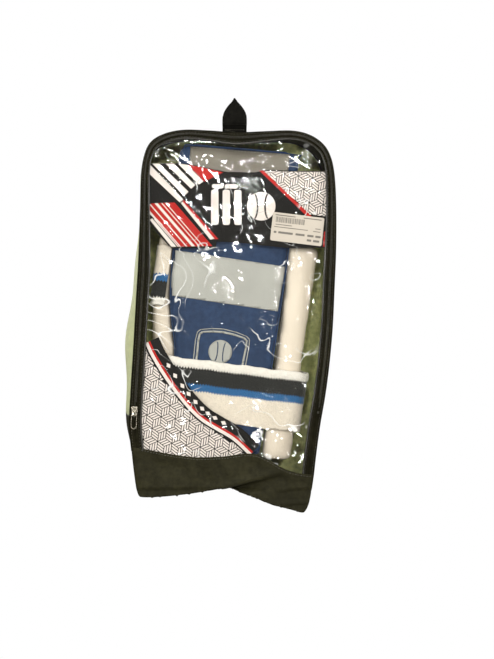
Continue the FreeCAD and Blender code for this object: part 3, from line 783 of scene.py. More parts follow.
# Four white bars with cut ends, and a thin one that runs on between two red ones.
print_patches(
    "banner_white_bars",
    [
        [(-98.2, -69), (-94.2, -69), (-58.2, -106.6), (-61.8, -110), (-98.2, -75.8)],
        [(-91.4, -68.2), (-83.9, -68.2), (-52.5, -98.2), (-57.1, -102.9)],
        [(-77, -68.2), (-68, -68.2), (-45.4, -90.9), (-49.5, -95)],
        [(-63.3, -68.4), (-54, -69), (-36.2, -86.8), (-41, -90.2)],
    ],
    white_ink,
    2,
)
print_patches(
    "banner_red_bars",
    [
        [(-53, -69), (-40, -71.2), (-26, -74.4), (-15, -77), (-35.1, -87.2)],
        [(-57.6, -107.2), (-20.2, -149.4), (-25, -149.6), (-60, -110.4)],
    ],
    red_ink,
    2,
)
print_patches("banner_white_line", [[(-60.6, -110.8), (-58.8, -109), (-24.6, -149), (-29, -150)]], white_ink, 1)
BLOCK = [(-96.3, -113.6), (-92.1, -111.1), (-67.4, -110.1), (-26.8, -156.9), (-64, -157.6), (-96.3, -119.5)]
print_patches("banner_red_block", [BLOCK], red_ink, 2, BLOCK)
lines = []
for start, wide in ((-103.5, 1.5), (-96.5, 1.5), (-90, 3.6), (-82.5, 1.2), (-78, 1.0)):
    lines.append([(start, -110), (start + wide, -110), (start + wide + 41.6, -158), (start + 41.6, -158)])
print_patches("banner_white_lines", lines, white_ink, 1, BLOCK)
FOOT_BARS = [
    [(-94.4, -128.6), (-91.6, -127.2), (-65.6, -157.8), (-71, -157.8)],
    [(-94.6, -122.2), (-93.2, -121), (-80.2, -134.2), (-81.4, -135.2)],
    [(-90, -128), (-89, -127.2), (-63, -157.8), (-64.2, -157.8)],
]
print_patches("banner_foot_bars", FOOT_BARS, white_ink, 1)

PATTERN_EDGE = 9.0


def basket_pattern(centre, reach):
    """Bars in groups of three, laid three ways round each corner like the faces of stacked cubes."""
    bm = bmesh.new()
    angles = [math.radians(degrees) for degrees in (22, 142, 262)]
    arms = [Vector((math.cos(a), math.sin(a))) * PATTERN_EDGE for a in angles]
    step, rise = arms[0] - arms[1], arms[0] - arms[2]
    for row in range(-reach, reach + 1):
        for column in range(-reach, reach + 1):
            corner = Vector(centre) + step * column + rise * row
            for k in range(3):
                along, across = arms[k], arms[(k + 1) % 3]
                for bar in range(3):
                    low = corner + across * ((bar + 0.16) / 3) + along * 0.05
                    high = corner + across * ((bar + 0.84) / 3) + along * 0.05
                    add_patch(bm, [low, high, high + along * 0.9, low + along * 0.9])
    return bm


pattern = basket_pattern((65, -98), 6)
clip(pattern, [(27.5, -75.5), (99.5, -75.5), (100, -124), (78, -122)])
printed("banner_pattern", pattern, white_ink, 2)
red_edges = [
    [(24.5, -74.8), (29, -74.8), (83, -125), (77.5, -125)],
    [(95.5, -141), (100, -139), (99, -157), (94.5, -157)],
]
print_patches("banner_red_edges", red_edges, red_ink, 1)


def rounded_patch(bm, x0, z0, x1, z1, radius):
    """A rectangle with rounded corners."""
    points = []
    for cx, cz, start in (
        (x1 - radius, z1 - radius, 90), (x1 - radius, z0 + radius, 0),
        (x0 + radius, z0 + radius, -90), (x0 + radius, z1 - radius, -180),
    ):
        for step in range(5):
            angle = math.radians(start - 22.5 * step)
            points.append((cx + radius * math.cos(angle), cz + radius * math.sin(angle)))
    add_patch(bm, points)


def round_patch(bm, x, z, radius, steps=40):
    """A filled circle."""
    turns = [-2 * math.pi * k / steps for k in range(steps)]
    add_patch(bm, [(x + radius * math.cos(turn), z + radius * math.sin(turn)) for turn in turns])


stumps = bmesh.new()
for k in range(3):
    rounded_patch(stumps, -28 + 12.5 * k, -134, -20 + 12.5 * k, -96, 2.5)
rounded_patch(stumps, -27, -94.5, -14.5, -90, 2.0)
rounded_patch(stumps, -13, -94.5, 1, -90, 2.0)
BALL_X, BALL_Z, BALL_RADIUS = 26.5, -113.5, 15.5
round_patch(stumps, BALL_X, BALL_Z, BALL_RADIUS)
printed("banner_device", stumps, white_ink, 2)
seam = bmesh.new()
for side in (-1, 1):
    arc = [
        (BALL_X + side * (4.0 + 6.0 * (1 - math.cos(a * 0.9))), BALL_Z + 14.6 * math.sin(a))
        for a in np.linspace(-1.15, 1.15, 12)
    ]
    add_patch(seam, [(x - 0.9, z) for x, z in arc] + [(x + 0.9, z) for x, z in reversed(arc)])
printed("banner_ball_seam", seam, black_ink, 1)

# ---------------------------------------------------------------- corner print
# The foot of the window is printed with the same basket pattern, cut off by a swoosh of black, red
# and white that runs down to the foot panel.
SWOOSH = [
    (-99, -262), (-92, -277), (-80, -297), (-66, -317), (-52, -334), (-38, -347), (-22, -357), (-4, -368), (14, -385),
]


def swoosh_band(low, high):
    """A band along the swoosh, between two distances out from its lower edge."""
    line = smooth_line(SWOOSH, 60)
    bm = bmesh.new()
    sides = []
    for i, here in enumerate(line):
        ahead = line[min(i + 1, len(line) - 1)] - line[max(i - 1, 0)]
        out = Vector((-ahead.y, ahead.x)).normalized()
        sides.append((here + out * low, here + out * high))
    pairs = [[bm.verts.new((p.x, 0, p.y)) for p in pair] for pair in sides]
    for (a, b), (c, d) in zip(pairs, pairs[1:]):
        bm.faces.new((a, b, d, c))
    clip(bm, [(-110, -250), (40, -250), (40, -385), (-110, -391)])
    return bm


def smooth_line(points, count):
    """An even run of points along the open curve through these points."""
    held = [Vector(points[0]) * 2 - Vector(points[1])] + [Vector(p) for p in points]
    held.append(held[-1] * 2 - held[-2])
    fine = [p for four in zip(held, held[1:], held[2:], held[3:]) for p in curve(*four, 16)]
    fine.append(held[-2])
    return [fine[round(i * (len(fine) - 1) / (count - 1))] for i in range(count)]


def corner_piece(name, bm, material, layer):
    piece = printed(name, bm, material, layer, body=None)
    return fold_with_front(piece)


swoosh_line = smooth_line(SWOOSH, 40)
corner_base = bmesh.new()
CORNER_REST = [(14, -391), (-60, -394), (-104, -390), (-104, -330), (-101, -280)]
add_patch(corner_base, [tuple(p) for p in swoosh_line] + CORNER_REST)
corner = corner_piece("corner_ground", corner_base, black_ink, 3)
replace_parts(corner, "corner_print", "corner_print_lower")
corner_pattern = basket_pattern((-60, -350), 11)
clip(corner_pattern, [(-104, -262), (20, -262), (20, -390), (-104, -390)])
swoosh_x = np.array([p.x for p in swoosh_line])
swoosh_z = np.array([p.y for p in swoosh_line])
above = [f for f in corner_pattern.faces
         if f.calc_center_median().z > np.interp(f.calc_center_median().x, swoosh_x, swoosh_z) - 1.0]
bmesh.ops.delete(corner_pattern, geom=above, context="FACES")
corner_piece("corner_pattern", corner_pattern, white_ink, 2)
for name, low, high, shade in (
    ("black_line", -2.4, -0.6, black_ink), ("white", -0.6, 2.8, white_ink), ("red", 2.8, 5.2, red_ink),
    ("black", 5.2, 15.5, black_ink),
):
    corner_piece(f"swoosh_{name}", swoosh_band(low, high), shade, 1)
lozenges = bmesh.new()
walk = smooth_line(SWOOSH, 60)
for k in range(9):
    here, ahead = walk[13 + 4 * k], (walk[14 + 4 * k] - walk[12 + 4 * k]).normalized()
    out = Vector((-ahead.y, ahead.x))
    centre = here + out * 10.4
    add_patch(lozenges, [centre - ahead * 3.4, centre + out * 2.4, centre + ahead * 3.4, centre - out * 2.4])
corner_piece("swoosh_lozenges", lozenges, white_ink, 0.4)

# ---------------------------------------------------------------- price label
# A white paper label stuck on the outside of the window, printed with plain bars and rules.
label_paper = ink("label_paper", "#b9b0a1", rough=0.6)
label_ink = ink("label_ink", "#6e6a62", rough=0.6)
LABEL_WIDTH, LABEL_HEIGHT = 57, 31
LABEL_TILT = math.radians(6.5)
LABEL_CORNER = Vector((39.5, -119.5))


def on_label(bm):
    """Moves a shape drawn from the label's top left corner to its tilted place."""
    for v in bm.verts:
        x, z = v.co.x, v.co.z
        v.co.x = LABEL_CORNER.x + x * math.cos(LABEL_TILT) + z * math.sin(LABEL_TILT)
        v.co.z = LABEL_CORNER.y - x * math.sin(LABEL_TILT) + z * math.cos(LABEL_TILT)
    return bm


label_shape = bmesh.new()
rounded_patch(label_shape, 0, -LABEL_HEIGHT, LABEL_WIDTH, 0, 1.8)
label = printed("price_label", on_label(label_shape), label_paper, -0.7)
thicken(label, 0.12)
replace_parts(label, "price_sticker")
marks = bmesh.new()
place = 4.0
for k in range(26):
    wide = (0.5, 0.9, 0.35, 0.7)[k % 4]
    add_patch(marks, [(place, -4.5), (place + wide, -4.5), (place + wide, -10.5), (place, -10.5)])
    place += wide + (0.45, 0.8, 0.6)[k % 3]
for x0, x1, z0, z1 in ((3, 25, -2.2, -3.2), (34, 54, -2.2, -3.2), (4, 22, -12.5, -13.3), (3, 40, -15.2, -16.0),
                       (48, 54, -12.5, -13.3), (46, 54, -15.6, -16.4)):
    add_patch(marks, [(x0, z0), (x1, z0), (x1, z1), (x0, z1)])
for x0, x1 in ((3, 6), (8, 24), (27, 37), (40, 47), (49, 55)):
    rounded_patch(marks, x0, -22.5, x1, -20.2, 0.5)
for x0, x1 in ((40, 45), (47, 54)):
    rounded_patch(marks, x0, -27.5, x1, -25.2, 0.5)
printed("price_label_marks", on_label(marks), label_ink, -1.3, cell=3.0)

# ---------------------------------------------------------------- foot panel
# The foot of the front is one piece of coated cloth. With nothing in it to hold it out, it has folded
# on itself: its right half tucks back under a crease that runs up from the lower edge.
TUCK_LOW = Vector((-12, -423))
TUCK_HIGH = Vector((38, -410))
TUCK_DEPTH = 20.0
TUCK_LIP = 2.6


def yoke_y(x, z):
    """The foot panel's depth: it swells to the left of the tuck and lies back to the right of it."""
    along = (TUCK_HIGH - TUCK_LOW).normalized()
    out = Vector((along.y, -along.x))
    from_low = Vector((x, z)) - TUCK_LOW
    beyond = from_low.dot(out)
    reach = from_low.dot(along) / (TUCK_HIGH - TUCK_LOW).length
    fade = min(1.0, max(0.0, 1.35 - reach)) if reach > 0 else 1.0
    step = 1 / (1 + math.exp(-beyond / 0.9))
    recess = TUCK_DEPTH * step * math.exp(-max(0.0, beyond) / 22) * fade
    lip = TUCK_LIP * math.exp(-(((beyond + 3.5) / 4.5) ** 2)) * fade
    waves = 0.9 * math.sin(x * 0.05 + z * 0.09) + 0.6 * math.sin(x * 0.13 - z * 0.05 + 1.0)
    waves += 0.35 * math.sin(x * 0.3 + z * 0.21)
    left, right = float(side_at(np.array([z]), 0, True)[0]), float(side_at(np.array([z]), 0, False)[0])
    inset = max(0.0, min(x - left, right - x))
    ease = min(1.0, inset / 12)
    near_seam = min(1.0, max(0.0, (seam_z(x) - z - 3.0) / 10))
    over_film = -1.3 * (1 - near_seam)
    shape = recess * min(1.0, 0.25 + near_seam) - lip - waves * near_seam
    return FRONT_Y + 0.3 + over_film + ease * shape + 2.5 * max(0.0, 1 - inset / 4) ** 2


yoke_ring = inset_ring(0.4, turn_at(-408, False), turn_at(-382, True), 150)
yoke_top = [(x, seam_z(x)) for x in np.linspace(yoke_ring[-1][0] + 0.5, yoke_ring[0][0] - 0.5, 40)]
yoke_shape = cut_cloth(yoke_ring + yoke_top, 2.0)
for v in yoke_shape.verts:
    v.co.y = yoke_y(v.co.x, v.co.z)
foot_panel = make_piece("foot_panel", yoke_shape, bag_cloth, "bag")
thicken(foot_panel, CLOTH_PLY)
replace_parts(foot_panel, "foot_yoke")
seam_places = []
for k in range(62):
    x = -103 + 3.1 * k
    z = seam_z(x) - 2.2
    if x < 81:
        tilt = math.atan2(seam_z(x + 1) - seam_z(x - 1), 2)
        seam_places.append(Matrix.Translation((x, yoke_y(x, z) - 0.6, z)) @ Matrix.Rotation(-tilt, 4, "Y"))
make_piece("foot_seam_stitches", set_down(bead(2.2, 0.28, sides=5), seam_places), thread, "bag")

# ---------------------------------------------------------------- hanging loop
# Black webbing folded over and sewn into the top seam. The bag's weight pinches its crest to a point.
LOOP_HALF = 13.5
LOOP_NECK_Z = -23.5
LOOP_BOW_Z = 6.3
LOOP_RISE = 3.75
webbing = woven("loop_webbing", "#080703", thread=1.3, depth=0.8, rough=0.75, fuzz=0.0, lift=1.5, gloss=0.08)


def loop_line(a):
    """The webbing's middle line, from its front foot over the crest to its back foot."""
    legs = [(-0.8, -31.0), (-0.8, LOOP_NECK_Z), (-LOOP_RISE, LOOP_NECK_Z + 6), (-LOOP_RISE, LOOP_BOW_Z)]
    angles = [k * math.pi / 8 for k in range(1, 8)]
    turn = [(-LOOP_RISE * math.cos(a), LOOP_BOW_Z + LOOP_RISE * math.sin(a)) for a in angles]
    points = legs + turn + [(-y, z) for y, z in reversed(legs)]
    place = a * (len(points) - 1)
    i = min(int(place), len(points) - 2)
    f = place - i
    return Vector(points[i]) * (1 - f) + Vector(points[i + 1]) * f


def loop_point(a, b):
    y, z = loop_line(a)
    rise = min(1.0, max(0.0, (z + 12.0) / 22.05))
    half = max(0.9, LOOP_HALF * (1 - rise**1.8))
    across = 2 * b - 1
    dish = 1.2 * rise * across * across
    return Vector((half * across, y * (1 - 0.25 * rise) + math.copysign(dish, y) * 0.3, z - dish))


loop = thicken(make_piece("hanging_loop", ruled(84, 16, loop_point), webbing, "bag"), 1.3)
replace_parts(loop, "hang_loop")
box_places = []
for side in (-1, 1):
    slope = Matrix.Rotation(-math.radians(16) * side, 4, "Y")
    for k in range(9):
        x, y, z = -10 + 2.5 * k, side * 1.7, -27.5 + side * 0.62 * (k - 4) * 0.9
        box_places.append(Matrix.Translation((x, y, LOOP_NECK_Z - 1.5)))
        box_places.append(Matrix.Translation((x, y, z)) @ slope)
make_piece("loop_stitches", set_down(bead(1.9, 0.3, sides=5), box_places), thread, "bag")
for slot in frame["nodes"]["loop_patch"].material_slots:
    slot.material = bag_cloth

# ---------------------------------------------------------------- zip slider and pull
# A nickel-plated die casting: a crowned plate with a bail, and an open wire pull that hangs from it.
slider_low, slider_high = (Vector(p) * 1000 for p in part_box("slider_body"))
slider_joint = next(j for j in frame["record"]["behaviour"]["joints"] if j["name"] == "slider_run")
slide_way = Vector(slider_joint["axis"])
slider_middle = (slider_low + slider_high) / 2
slider_turn = Matrix.Rotation(math.atan2(slide_way.x, slide_way.z), 4, "Y")


def nickel_plate(name):
    """Nickel over zinc: bright, slightly warm, with fine scuffs that dull it in places."""
    made, tree, spot = new_material(name)
    scuff = add_node(tree, "ShaderNodeTexNoise", {"Vector": spot, "Scale": 900.0, "Detail": 5.0})
    dull = add_node(tree, "ShaderNodeMapRange", {"Value": scuff.outputs["Fac"], "To Min": 0.12, "To Max": 0.42})
    bump = add_node(tree, "ShaderNodeBump", {"Strength": 0.15, "Distance": 0.0001, "Height": scuff.outputs["Fac"]})
    metal = add_node(
        tree,
        "ShaderNodeBsdfPrincipled",
        {"Base Color": linear("#9a9384"), "Metallic": 1.0, "Roughness": dull.outputs[0], "Normal": bump.outputs[0]},
    )
    add_node(tree, "ShaderNodeOutputMaterial", {"Surface": metal.outputs[0]})
    return made


nickel = nickel_plate("nickel_plate")


def cast_block(bm, size, at, round_by, taper=1.0):
    """Adds a cast block with rounded edges, narrower at its foot by taper."""
    made = bmesh.ops.create_cube(bm, size=1.0)["verts"]
    for v in made:
        narrow = taper if v.co.z < 0 else 1.0
        v.co = Vector((v.co.x * size[0] * narrow, v.co.y * size[1], v.co.z * size[2])) + Vector(at)
    rims = list({e for v in made for e in v.link_edges})
    bmesh.ops.bevel(bm, geom=rims, offset=round_by, affect="EDGES", segments=3, profile=0.5, material=-1)


def hoop(bm, line, radius, closed):
    """Adds a round wire along these points."""
    last = len(line) - 1
    rings = []
    for i, here in enumerate(line):
        before = line[i - 1] if closed else line[max(i - 1, 0)]
        after = line[(i + 1) % len(line)] if closed else line[min(i + 1, last)]
        turned = (after - before).normalized().to_track_quat("Z", "Y").to_matrix().to_4x4()
        turned.translation = here
        made = bmesh.ops.create_circle(bm, cap_ends=False, segments=8, radius=radius, matrix=turned)["verts"]
        rings.append(made)
    pairs = zip(rings, rings[1:] + rings[:1]) if closed else zip(rings, rings[1:])
    for low, high in pairs:
        for k in range(8):
            near = min(range(8), key=lambda m: (high[m].co - low[k].co).length)
            far = min(range(8), key=lambda m: (high[m].co - low[(k + 1) % 8].co).length)
            if near != far:
                bm.faces.new((low[k], low[(k + 1) % 8], high[far], high[near]))


slider_shape = bmesh.new()
face_y = FRONT_Y - 2.9
cast_block(slider_shape, (7.0, 1.5, 10.6), (0, face_y, 0), 0.7, taper=0.78)
cast_block(slider_shape, (6.2, 1.1, 10.2), (0, FRONT_Y + 1.85, 0), 0.4, taper=0.8)
for x in (-3.05, 3.05):
    cast_block(slider_shape, (0.9, 1.6, 7.6), (x, FRONT_Y - 1.4, 0.6), 0.3)
cast_block(slider_shape, (0.5, 4.4, 5.0), (0, FRONT_Y - 0.6, 1.6), 0.1)
bail_line = [Vector((0, face_y - 0.6 - 1.5 * math.sin(math.pi * k / 8), 3.2 - 6.4 * k / 8)) for k in range(9)]
hoop(slider_shape, bail_line, 0.55, closed=False)
slider_shape.transform(Matrix.Translation((slider_middle.x, 0, slider_middle.z)) @ slider_turn)
bmesh.ops.recalc_face_normals(slider_shape, faces=slider_shape.faces)
slider = make_piece("slider_casting", slider_shape, nickel, "zip_slider")
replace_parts(slider, "slider_body")
pull_shape = bmesh.new()
PULL_Y = -44.3
PULL_LINE = [
    (0, 0.4), (2.3, -0.2), (2.75, -3.5), (2.75, -15.5), (1.9, -18.1), (0, -18.9), (-1.9, -18.1), (-2.75, -15.5),
    (-2.75, -3.5), (-2.3, -0.2),
]
hoop(pull_shape, [Vector((x, PULL_Y, z)) for x, z in smooth_loop(PULL_LINE, 64)], 0.5, closed=True)
pull_shape.transform(Matrix.Translation((slider_middle.x, 0, slider_middle.z)) @ slider_turn)
bmesh.ops.recalc_face_normals(pull_shape, faces=pull_shape.faces)
pull = make_piece("pull_loop", pull_shape, nickel, "zip_pull")
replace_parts(pull, "pull_tab")
stops = bmesh.new()
for t in (zip_from, zip_to):
    frame_at = border_frame(t, ZIP_INSET - 0.8, 0.9)
    for rib in (-0.9, 0.0, 0.9):
        at = frame_at @ Matrix.Translation((0, rib, 0)) @ Matrix.Diagonal((1.5, 0.5, 0.7, 1))
        bmesh.ops.create_uvsphere(stops, u_segments=8, v_segments=6, radius=1.0, matrix=at)
stops_piece = make_piece("zip_end_stops", stops, nylon, "bag")
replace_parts(stops_piece, "zip_stops")

# ---------------------------------------------------------------- thigh pad: centre
# The pad leans a little in its bag. Its middle is a navy synthetic facing over a moulded shield and
# foam, tapered towards the knee, with a bound edge and a silver band sewn across it.
PAD_LEAN = math.radians(7.5)
PAD_ORIGIN = Vector((-6.6, 0, -200.8))
PAD_FRONT = -34.0
CENTRE = [
    (-76, 148, 18), (57, 157, 18), (60, 31, 40), (58, -89, 60), (56, -184, 14), (-45, -184, 14),
    (-49, -86, 60), (-66, -24, 60), (-68, 28, 60),
]


def on_pad(u, v, y=0.0):
    """A point given across and up the pad, as it leans in the bag."""
    c, s = math.cos(PAD_LEAN), math.sin(PAD_LEAN)
    return Vector((PAD_ORIGIN.x + u * c + v * s, y, PAD_ORIGIN.z - u * s + v * c))


def rounded(corners, closed=True):
    """An outline with each of its corners, given as (across, up, radius), rounded off."""
    made = []
    count = len(corners)
    for i, (u, v, radius) in enumerate(corners):
        here = Vector((u, v))
        if not closed and i in (0, count - 1):
            made.append(here)
            continue
        before, after = Vector(corners[i - 1][:2]) - here, Vector(corners[(i + 1) % count][:2]) - here
        back = min(radius, before.length * 0.48)
        on = min(radius, after.length * 0.48)
        start, end = here + before.normalized() * back, here + after.normalized() * on
        for k in range(9):
            t = k / 8
            made.append(start * (1 - t) ** 2 + here * 2 * t * (1 - t) + end * t * t)
    return [tuple(p) for p in made]


def drawn_out(points, way):
    """A closed block: the face through these points, drawn out by way."""
    bm = bmesh.new()
    bm.faces.new([bm.verts.new(p) for p in points])
    side = bmesh.ops.extrude_face_region(bm, geom=bm.faces[:])["geom"]
    moved = [part for part in side if isinstance(part, bmesh.types.BMVert)]
    bmesh.ops.translate(bm, verts=moved, vec=way)
    bmesh.ops.recalc_face_normals(bm, faces=bm.faces)
    return bm


def slab(outline, front, back, spread=0.0):
    """A closed block of this outline on the pad, spread outwards a little from its middle."""
    middle = Vector((sum(p[0] for p in outline), sum(p[1] for p in outline))) / len(outline)
    wider = [Vector(p) - (middle - Vector(p)).normalized() * spread for p in outline]
    return drawn_out([on_pad(u, v, front) for u, v in wider], (0, back - front, 0))


CASE_CELL = 0.0046  # metres, the mesh size that the cloth simulation works on


def stuffed(name, bm, material, cap):
    """A sewn case over foam: evened out, swollen by cloth simulation, and held to cap millimetres."""
    piece = make_piece(name, bm, material, "thigh_pad")
    even = piece.modifiers.new("even", "REMESH")
    even.mode = "VOXEL"
    even.voxel_size = CASE_CELL
    even.use_smooth_shade = True
    bpy.context.view_layer.update()
    settled = bpy.data.meshes.new_from_object(piece.evaluated_get(bpy.context.evaluated_depsgraph_get()))
    piece.modifiers.clear()
    piece.data = settled
    settled.materials.clear()
    settled.materials.append(material)
    start = np.array([v.co for v in settled.vertices])
    case = piece.modifiers.new("case", "CLOTH")
    sewn = case.settings
    sewn.quality, sewn.mass = 5, 0.3
    sewn.tension_stiffness, sewn.bending_stiffness = 12, 1.5
    sewn.use_pressure, sewn.uniform_pressure_force = True, 4
    sewn.effector_weights.gravity = 0
    case.point_cache.frame_start, case.point_cache.frame_end = 1, 20
    for moment in range(1, 21):
        bpy.context.scene.frame_set(moment)
    swollen = piece.evaluated_get(bpy.context.evaluated_depsgraph_get()).data
    end = np.array([v.co for v in swollen.vertices])
    move = end - start
    far = np.maximum(np.linalg.norm(move, axis=1), 1e-9)[:, None]
    final = start + move * np.minimum(1.0, cap / 1000 / far)
    piece.modifiers.clear()
    bpy.context.scene.frame_set(1)
    settled.vertices.foreach_set("co", final.ravel())
    relax = piece.modifiers.new("relax", "SMOOTH")
    relax.factor, relax.iterations = 0.5, 4
    surface = piece.modifiers.new("surface", "SUBSURF")
    surface.levels = surface.render_levels = 1
    return piece


def lay_on_piece(bm, piece, lift):
    """Lays a flat shape on the front of a finished piece, lift millimetres proud of it."""
    bpy.context.view_layer.update()
    tree = BVHTree.FromObject(piece, bpy.context.evaluated_depsgraph_get())
    last = PAD_FRONT
    for v in bm.verts:
        hit = tree.ray_cast(Vector((v.co.x / 1000, -0.2, v.co.z / 1000)), Vector((0, 1, 0)))[0]
        last = hit.y * 1000 if hit else last
        v.co.y = last - lift


# A fine twill facing with a soft shine, dyed navy. Its threads are drawn coarse enough to show.
navy_facing = woven("navy_twill", "#1a3252", thread=1.3, depth=0.45, rough=0.55, fuzz=0.03, gloss=0.25, lift=1.18)
centre_line = rounded(CENTRE)
centre_pad = stuffed("centre_pad", slab(centre_line, -33.0, -12.0, spread=1.6), navy_facing, 2.4)
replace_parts(centre_pad, "centre_cover", "centre_foam", "shock_shield")


BINDING_STEPS = 420


def edge_binding(name, outline, y, radius, material):
    """A bound edge that follows the outline, as a thin round roll."""
    line = smooth_loop([tuple(on_pad(u * 0.978, (v + 14) * 0.991 - 14).xz) for u, v in outline], BINDING_STEPS)
    ahead = np.roll(line, -1, axis=0) - np.roll(line, 1, axis=0)
    ahead /= np.linalg.norm(ahead, axis=1)[:, None]

    def place(a, b):
        i = int(round(a * BINDING_STEPS)) % BINDING_STEPS
        side = Vector((ahead[i][1], -ahead[i][0])) * radius * math.cos(2 * math.pi * b)
        return Vector((line[i][0] + side.x, y + radius * math.sin(2 * math.pi * b), line[i][1] + side.y))

    shape = ruled(BINDING_STEPS, 8, place)
    bmesh.ops.remove_doubles(shape, verts=shape.verts, dist=0.01)
    bmesh.ops.recalc_face_normals(shape, faces=shape.faces)
    return make_piece(name, shape, material, "thigh_pad")


edge_binding("centre_binding", centre_line[::4], -31.4, 0.8, navy_facing)


def reflective_vinyl(name, dark, light):
    """Silver polyurethane film on cloth: a fine metallic grain, dull from many small creases."""
    made, tree, spot = new_material(name)
    grain = add_node(tree, "ShaderNodeTexNoise", {"Vector": spot, "Scale": 700.0, "Detail": 3.0})
    cloud = add_node(tree, "ShaderNodeTexNoise", {"Vector": spot, "Scale": 18.0, "Detail": 4.0})
    bump = add_node(tree, "ShaderNodeBump", {"Strength": 0.2, "Distance": 0.0005, "Height": grain.outputs["Fac"]})
    shades = {0: cloud.outputs["Fac"], 6: linear(dark), 7: linear(light)}
    tone = add_node(tree, "ShaderNodeMix", shades, data_type="RGBA")
    silver = add_node(
        tree,
        "ShaderNodeBsdfPrincipled",
        {"Base Color": tone.outputs[2], "Metallic": 0.35, "Roughness": 0.5, "Normal": bump.outputs[0]},
    )
    add_node(tree, "ShaderNodeOutputMaterial", {"Surface": silver.outputs[0]})
    return made


silver_film = reflective_vinyl("silver_film", "#8f8f88", "#aeaea6")
# A darker copy of the silver film for the top patch: painted shade, as that patch lies tilted in the shade under the
# bag's top.
painted_shade_silver_film = reflective_vinyl("silver_film_painted_shade", "#5f5a50", "#767064")


def appliqued(name, patches, material, lift, ply=0.5, cell=3.0):
    """Flat patches sewn to the centre's face."""
    bm = bmesh.new()
    for points in patches:
        add_patch(bm, [tuple(on_pad(u, v).xz) for u, v in points])
    rule_cells(bm, cell)
    lay_on_piece(bm, centre_pad, lift)
    bmesh.ops.recalc_face_normals(bm, faces=bm.faces)
    return thicken(make_piece(name, bm, material, "thigh_pad"), ply)


BAND = [(-66.5, 31.5), (57, 29.5), (55, -20), (-64, -18)]
TOP_PATCH = [(-63, 145.5), (46, 152), (46, 85), (-58, 85)]
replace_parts(appliqued("silver_band_vinyl", [BAND], silver_film, 0.35), "silver_band")
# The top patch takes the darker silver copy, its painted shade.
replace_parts(appliqued("silver_top_vinyl", [TOP_PATCH], painted_shade_silver_film, 0.35), "silver_top_patch")


def sewn_edge(name, points, inset, material, pitch=3.4):
    """Lockstitches that hold a patch down, a little in from its edge."""
    bm = bmesh.new()
    middle = sum((Vector(p) for p in points), Vector((0, 0))) / len(points)
    spots = []
    for p, q in zip(points, points[1:] + points[:1]):
        p, q = (Vector(end) + (middle - Vector(end)).normalized() * inset * 1.4 for end in (p, q))
        count = int((q - p).length / pitch)
        spots += [(p.lerp(q, (k + 0.5) / count), (q - p).angle_signed(Vector((1, 0)))) for k in range(count)]
    for spot, _ in spots:
        bm.verts.new(on_pad(*spot))
    lay_on_piece(bm, centre_pad, 0.75)
    places = [
        Matrix.Translation(v.co) @ Matrix.Rotation(PAD_LEAN - turn, 4, "Y")
        for v, (_, turn) in zip(bm.verts, spots)
    ]
    bm.free()
    return make_piece(name, set_down(bead(2.3, 0.24, sides=5), places), material, "thigh_pad")


silver_thread = woven("silver_thread", "#8f8c84", thread=0.5, rough=0.5)
sewn_edge("band_stitches", BAND, 1.6, silver_thread)
sewn_edge("top_patch_stitches", TOP_PATCH, 1.6, silver_thread)


def outline_ring(points, out, wide):
    """The quads of a line of this width that follows points, out millimetres from them."""
    middle = Vector((-1, -74))
    spread = []
    for p in points:
        away = (Vector(p) - middle).normalized()
        spread.append((Vector(p) + away * out, Vector(p) + away * (out + wide)))
    return [[a, b, d, c] for (a, b), (c, d) in zip(spread, spread[1:])]


# A generic crest: a double shield line round a ball with its two rows of stitching.
SHIELD_LINE = [
    (-29, -98), (-29.5, -80), (-30, -62), (-29, -54), (-26, -51), (-14, -48.5), (-2, -47.5), (12, -49),
    (24, -52), (27.5, -55), (28, -63), (27, -80), (26, -98),
]
CREST_PLY = 0.35
CREST_V = -72  # how far up the pad the crest's ball is
outer_line, inner_line = outline_ring(SHIELD_LINE, 0.0, 1.1), outline_ring(SHIELD_LINE, -4.0, 2.4)
appliqued("crest_outer_line", outer_line, silver_film, 0.3, ply=CREST_PLY, cell=6.0)
crest = appliqued("crest_inner_line", inner_line, silver_film, 0.3, ply=CREST_PLY, cell=6.0)
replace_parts(crest, "badge")
turns = [2 * math.pi * k / 36 for k in range(36)]
crest_ball = [(-2 + 13.0 * math.sin(turn), CREST_V + 13.0 * math.cos(turn)) for turn in turns]
appliqued("crest_ball", [crest_ball], silver_film, 0.3, ply=CREST_PLY, cell=4.0)
for side in (-1, 1):
    seam = [
        (side * (3.0 + 3.4 * (1 - math.cos(a * 0.8))), CREST_V + 11.2 * math.sin(a))
        for a in np.linspace(-1.2, 1.2, 13)
    ]
    strip = []
    for (u0, v0), (u1, v1) in zip(seam, seam[1:]):
        strip.append([(u0 - 2.5, v0), (u0 - 1.5, v0), (u1 - 1.5, v1), (u1 - 2.5, v1)])
    appliqued(f"crest_ball_seam_{'right' if side > 0 else 'left'}", strip, navy_facing, 0.62, ply=0.3, cell=9.0)

# ---------------------------------------------------------------- thigh pad: wings and lining
# Two soft wings wrap the thigh at the sides, cream vinyl over thick foam. The right one runs the whole
# height as a round column, and the left one is folded behind the centre. Towelling lines the back.
wing_vinyl = glossy_vinyl("cream_wing_vinyl", "#d4c8b5", rough=0.55, grain=0.3)


def puffed_column(section, v0, v1):
    """A closed block with this outline, given across and back, that runs up the pad."""
    return drawn_out([on_pad(u, v0, y) for u, y in section], on_pad(0, v1) - on_pad(0, v0))


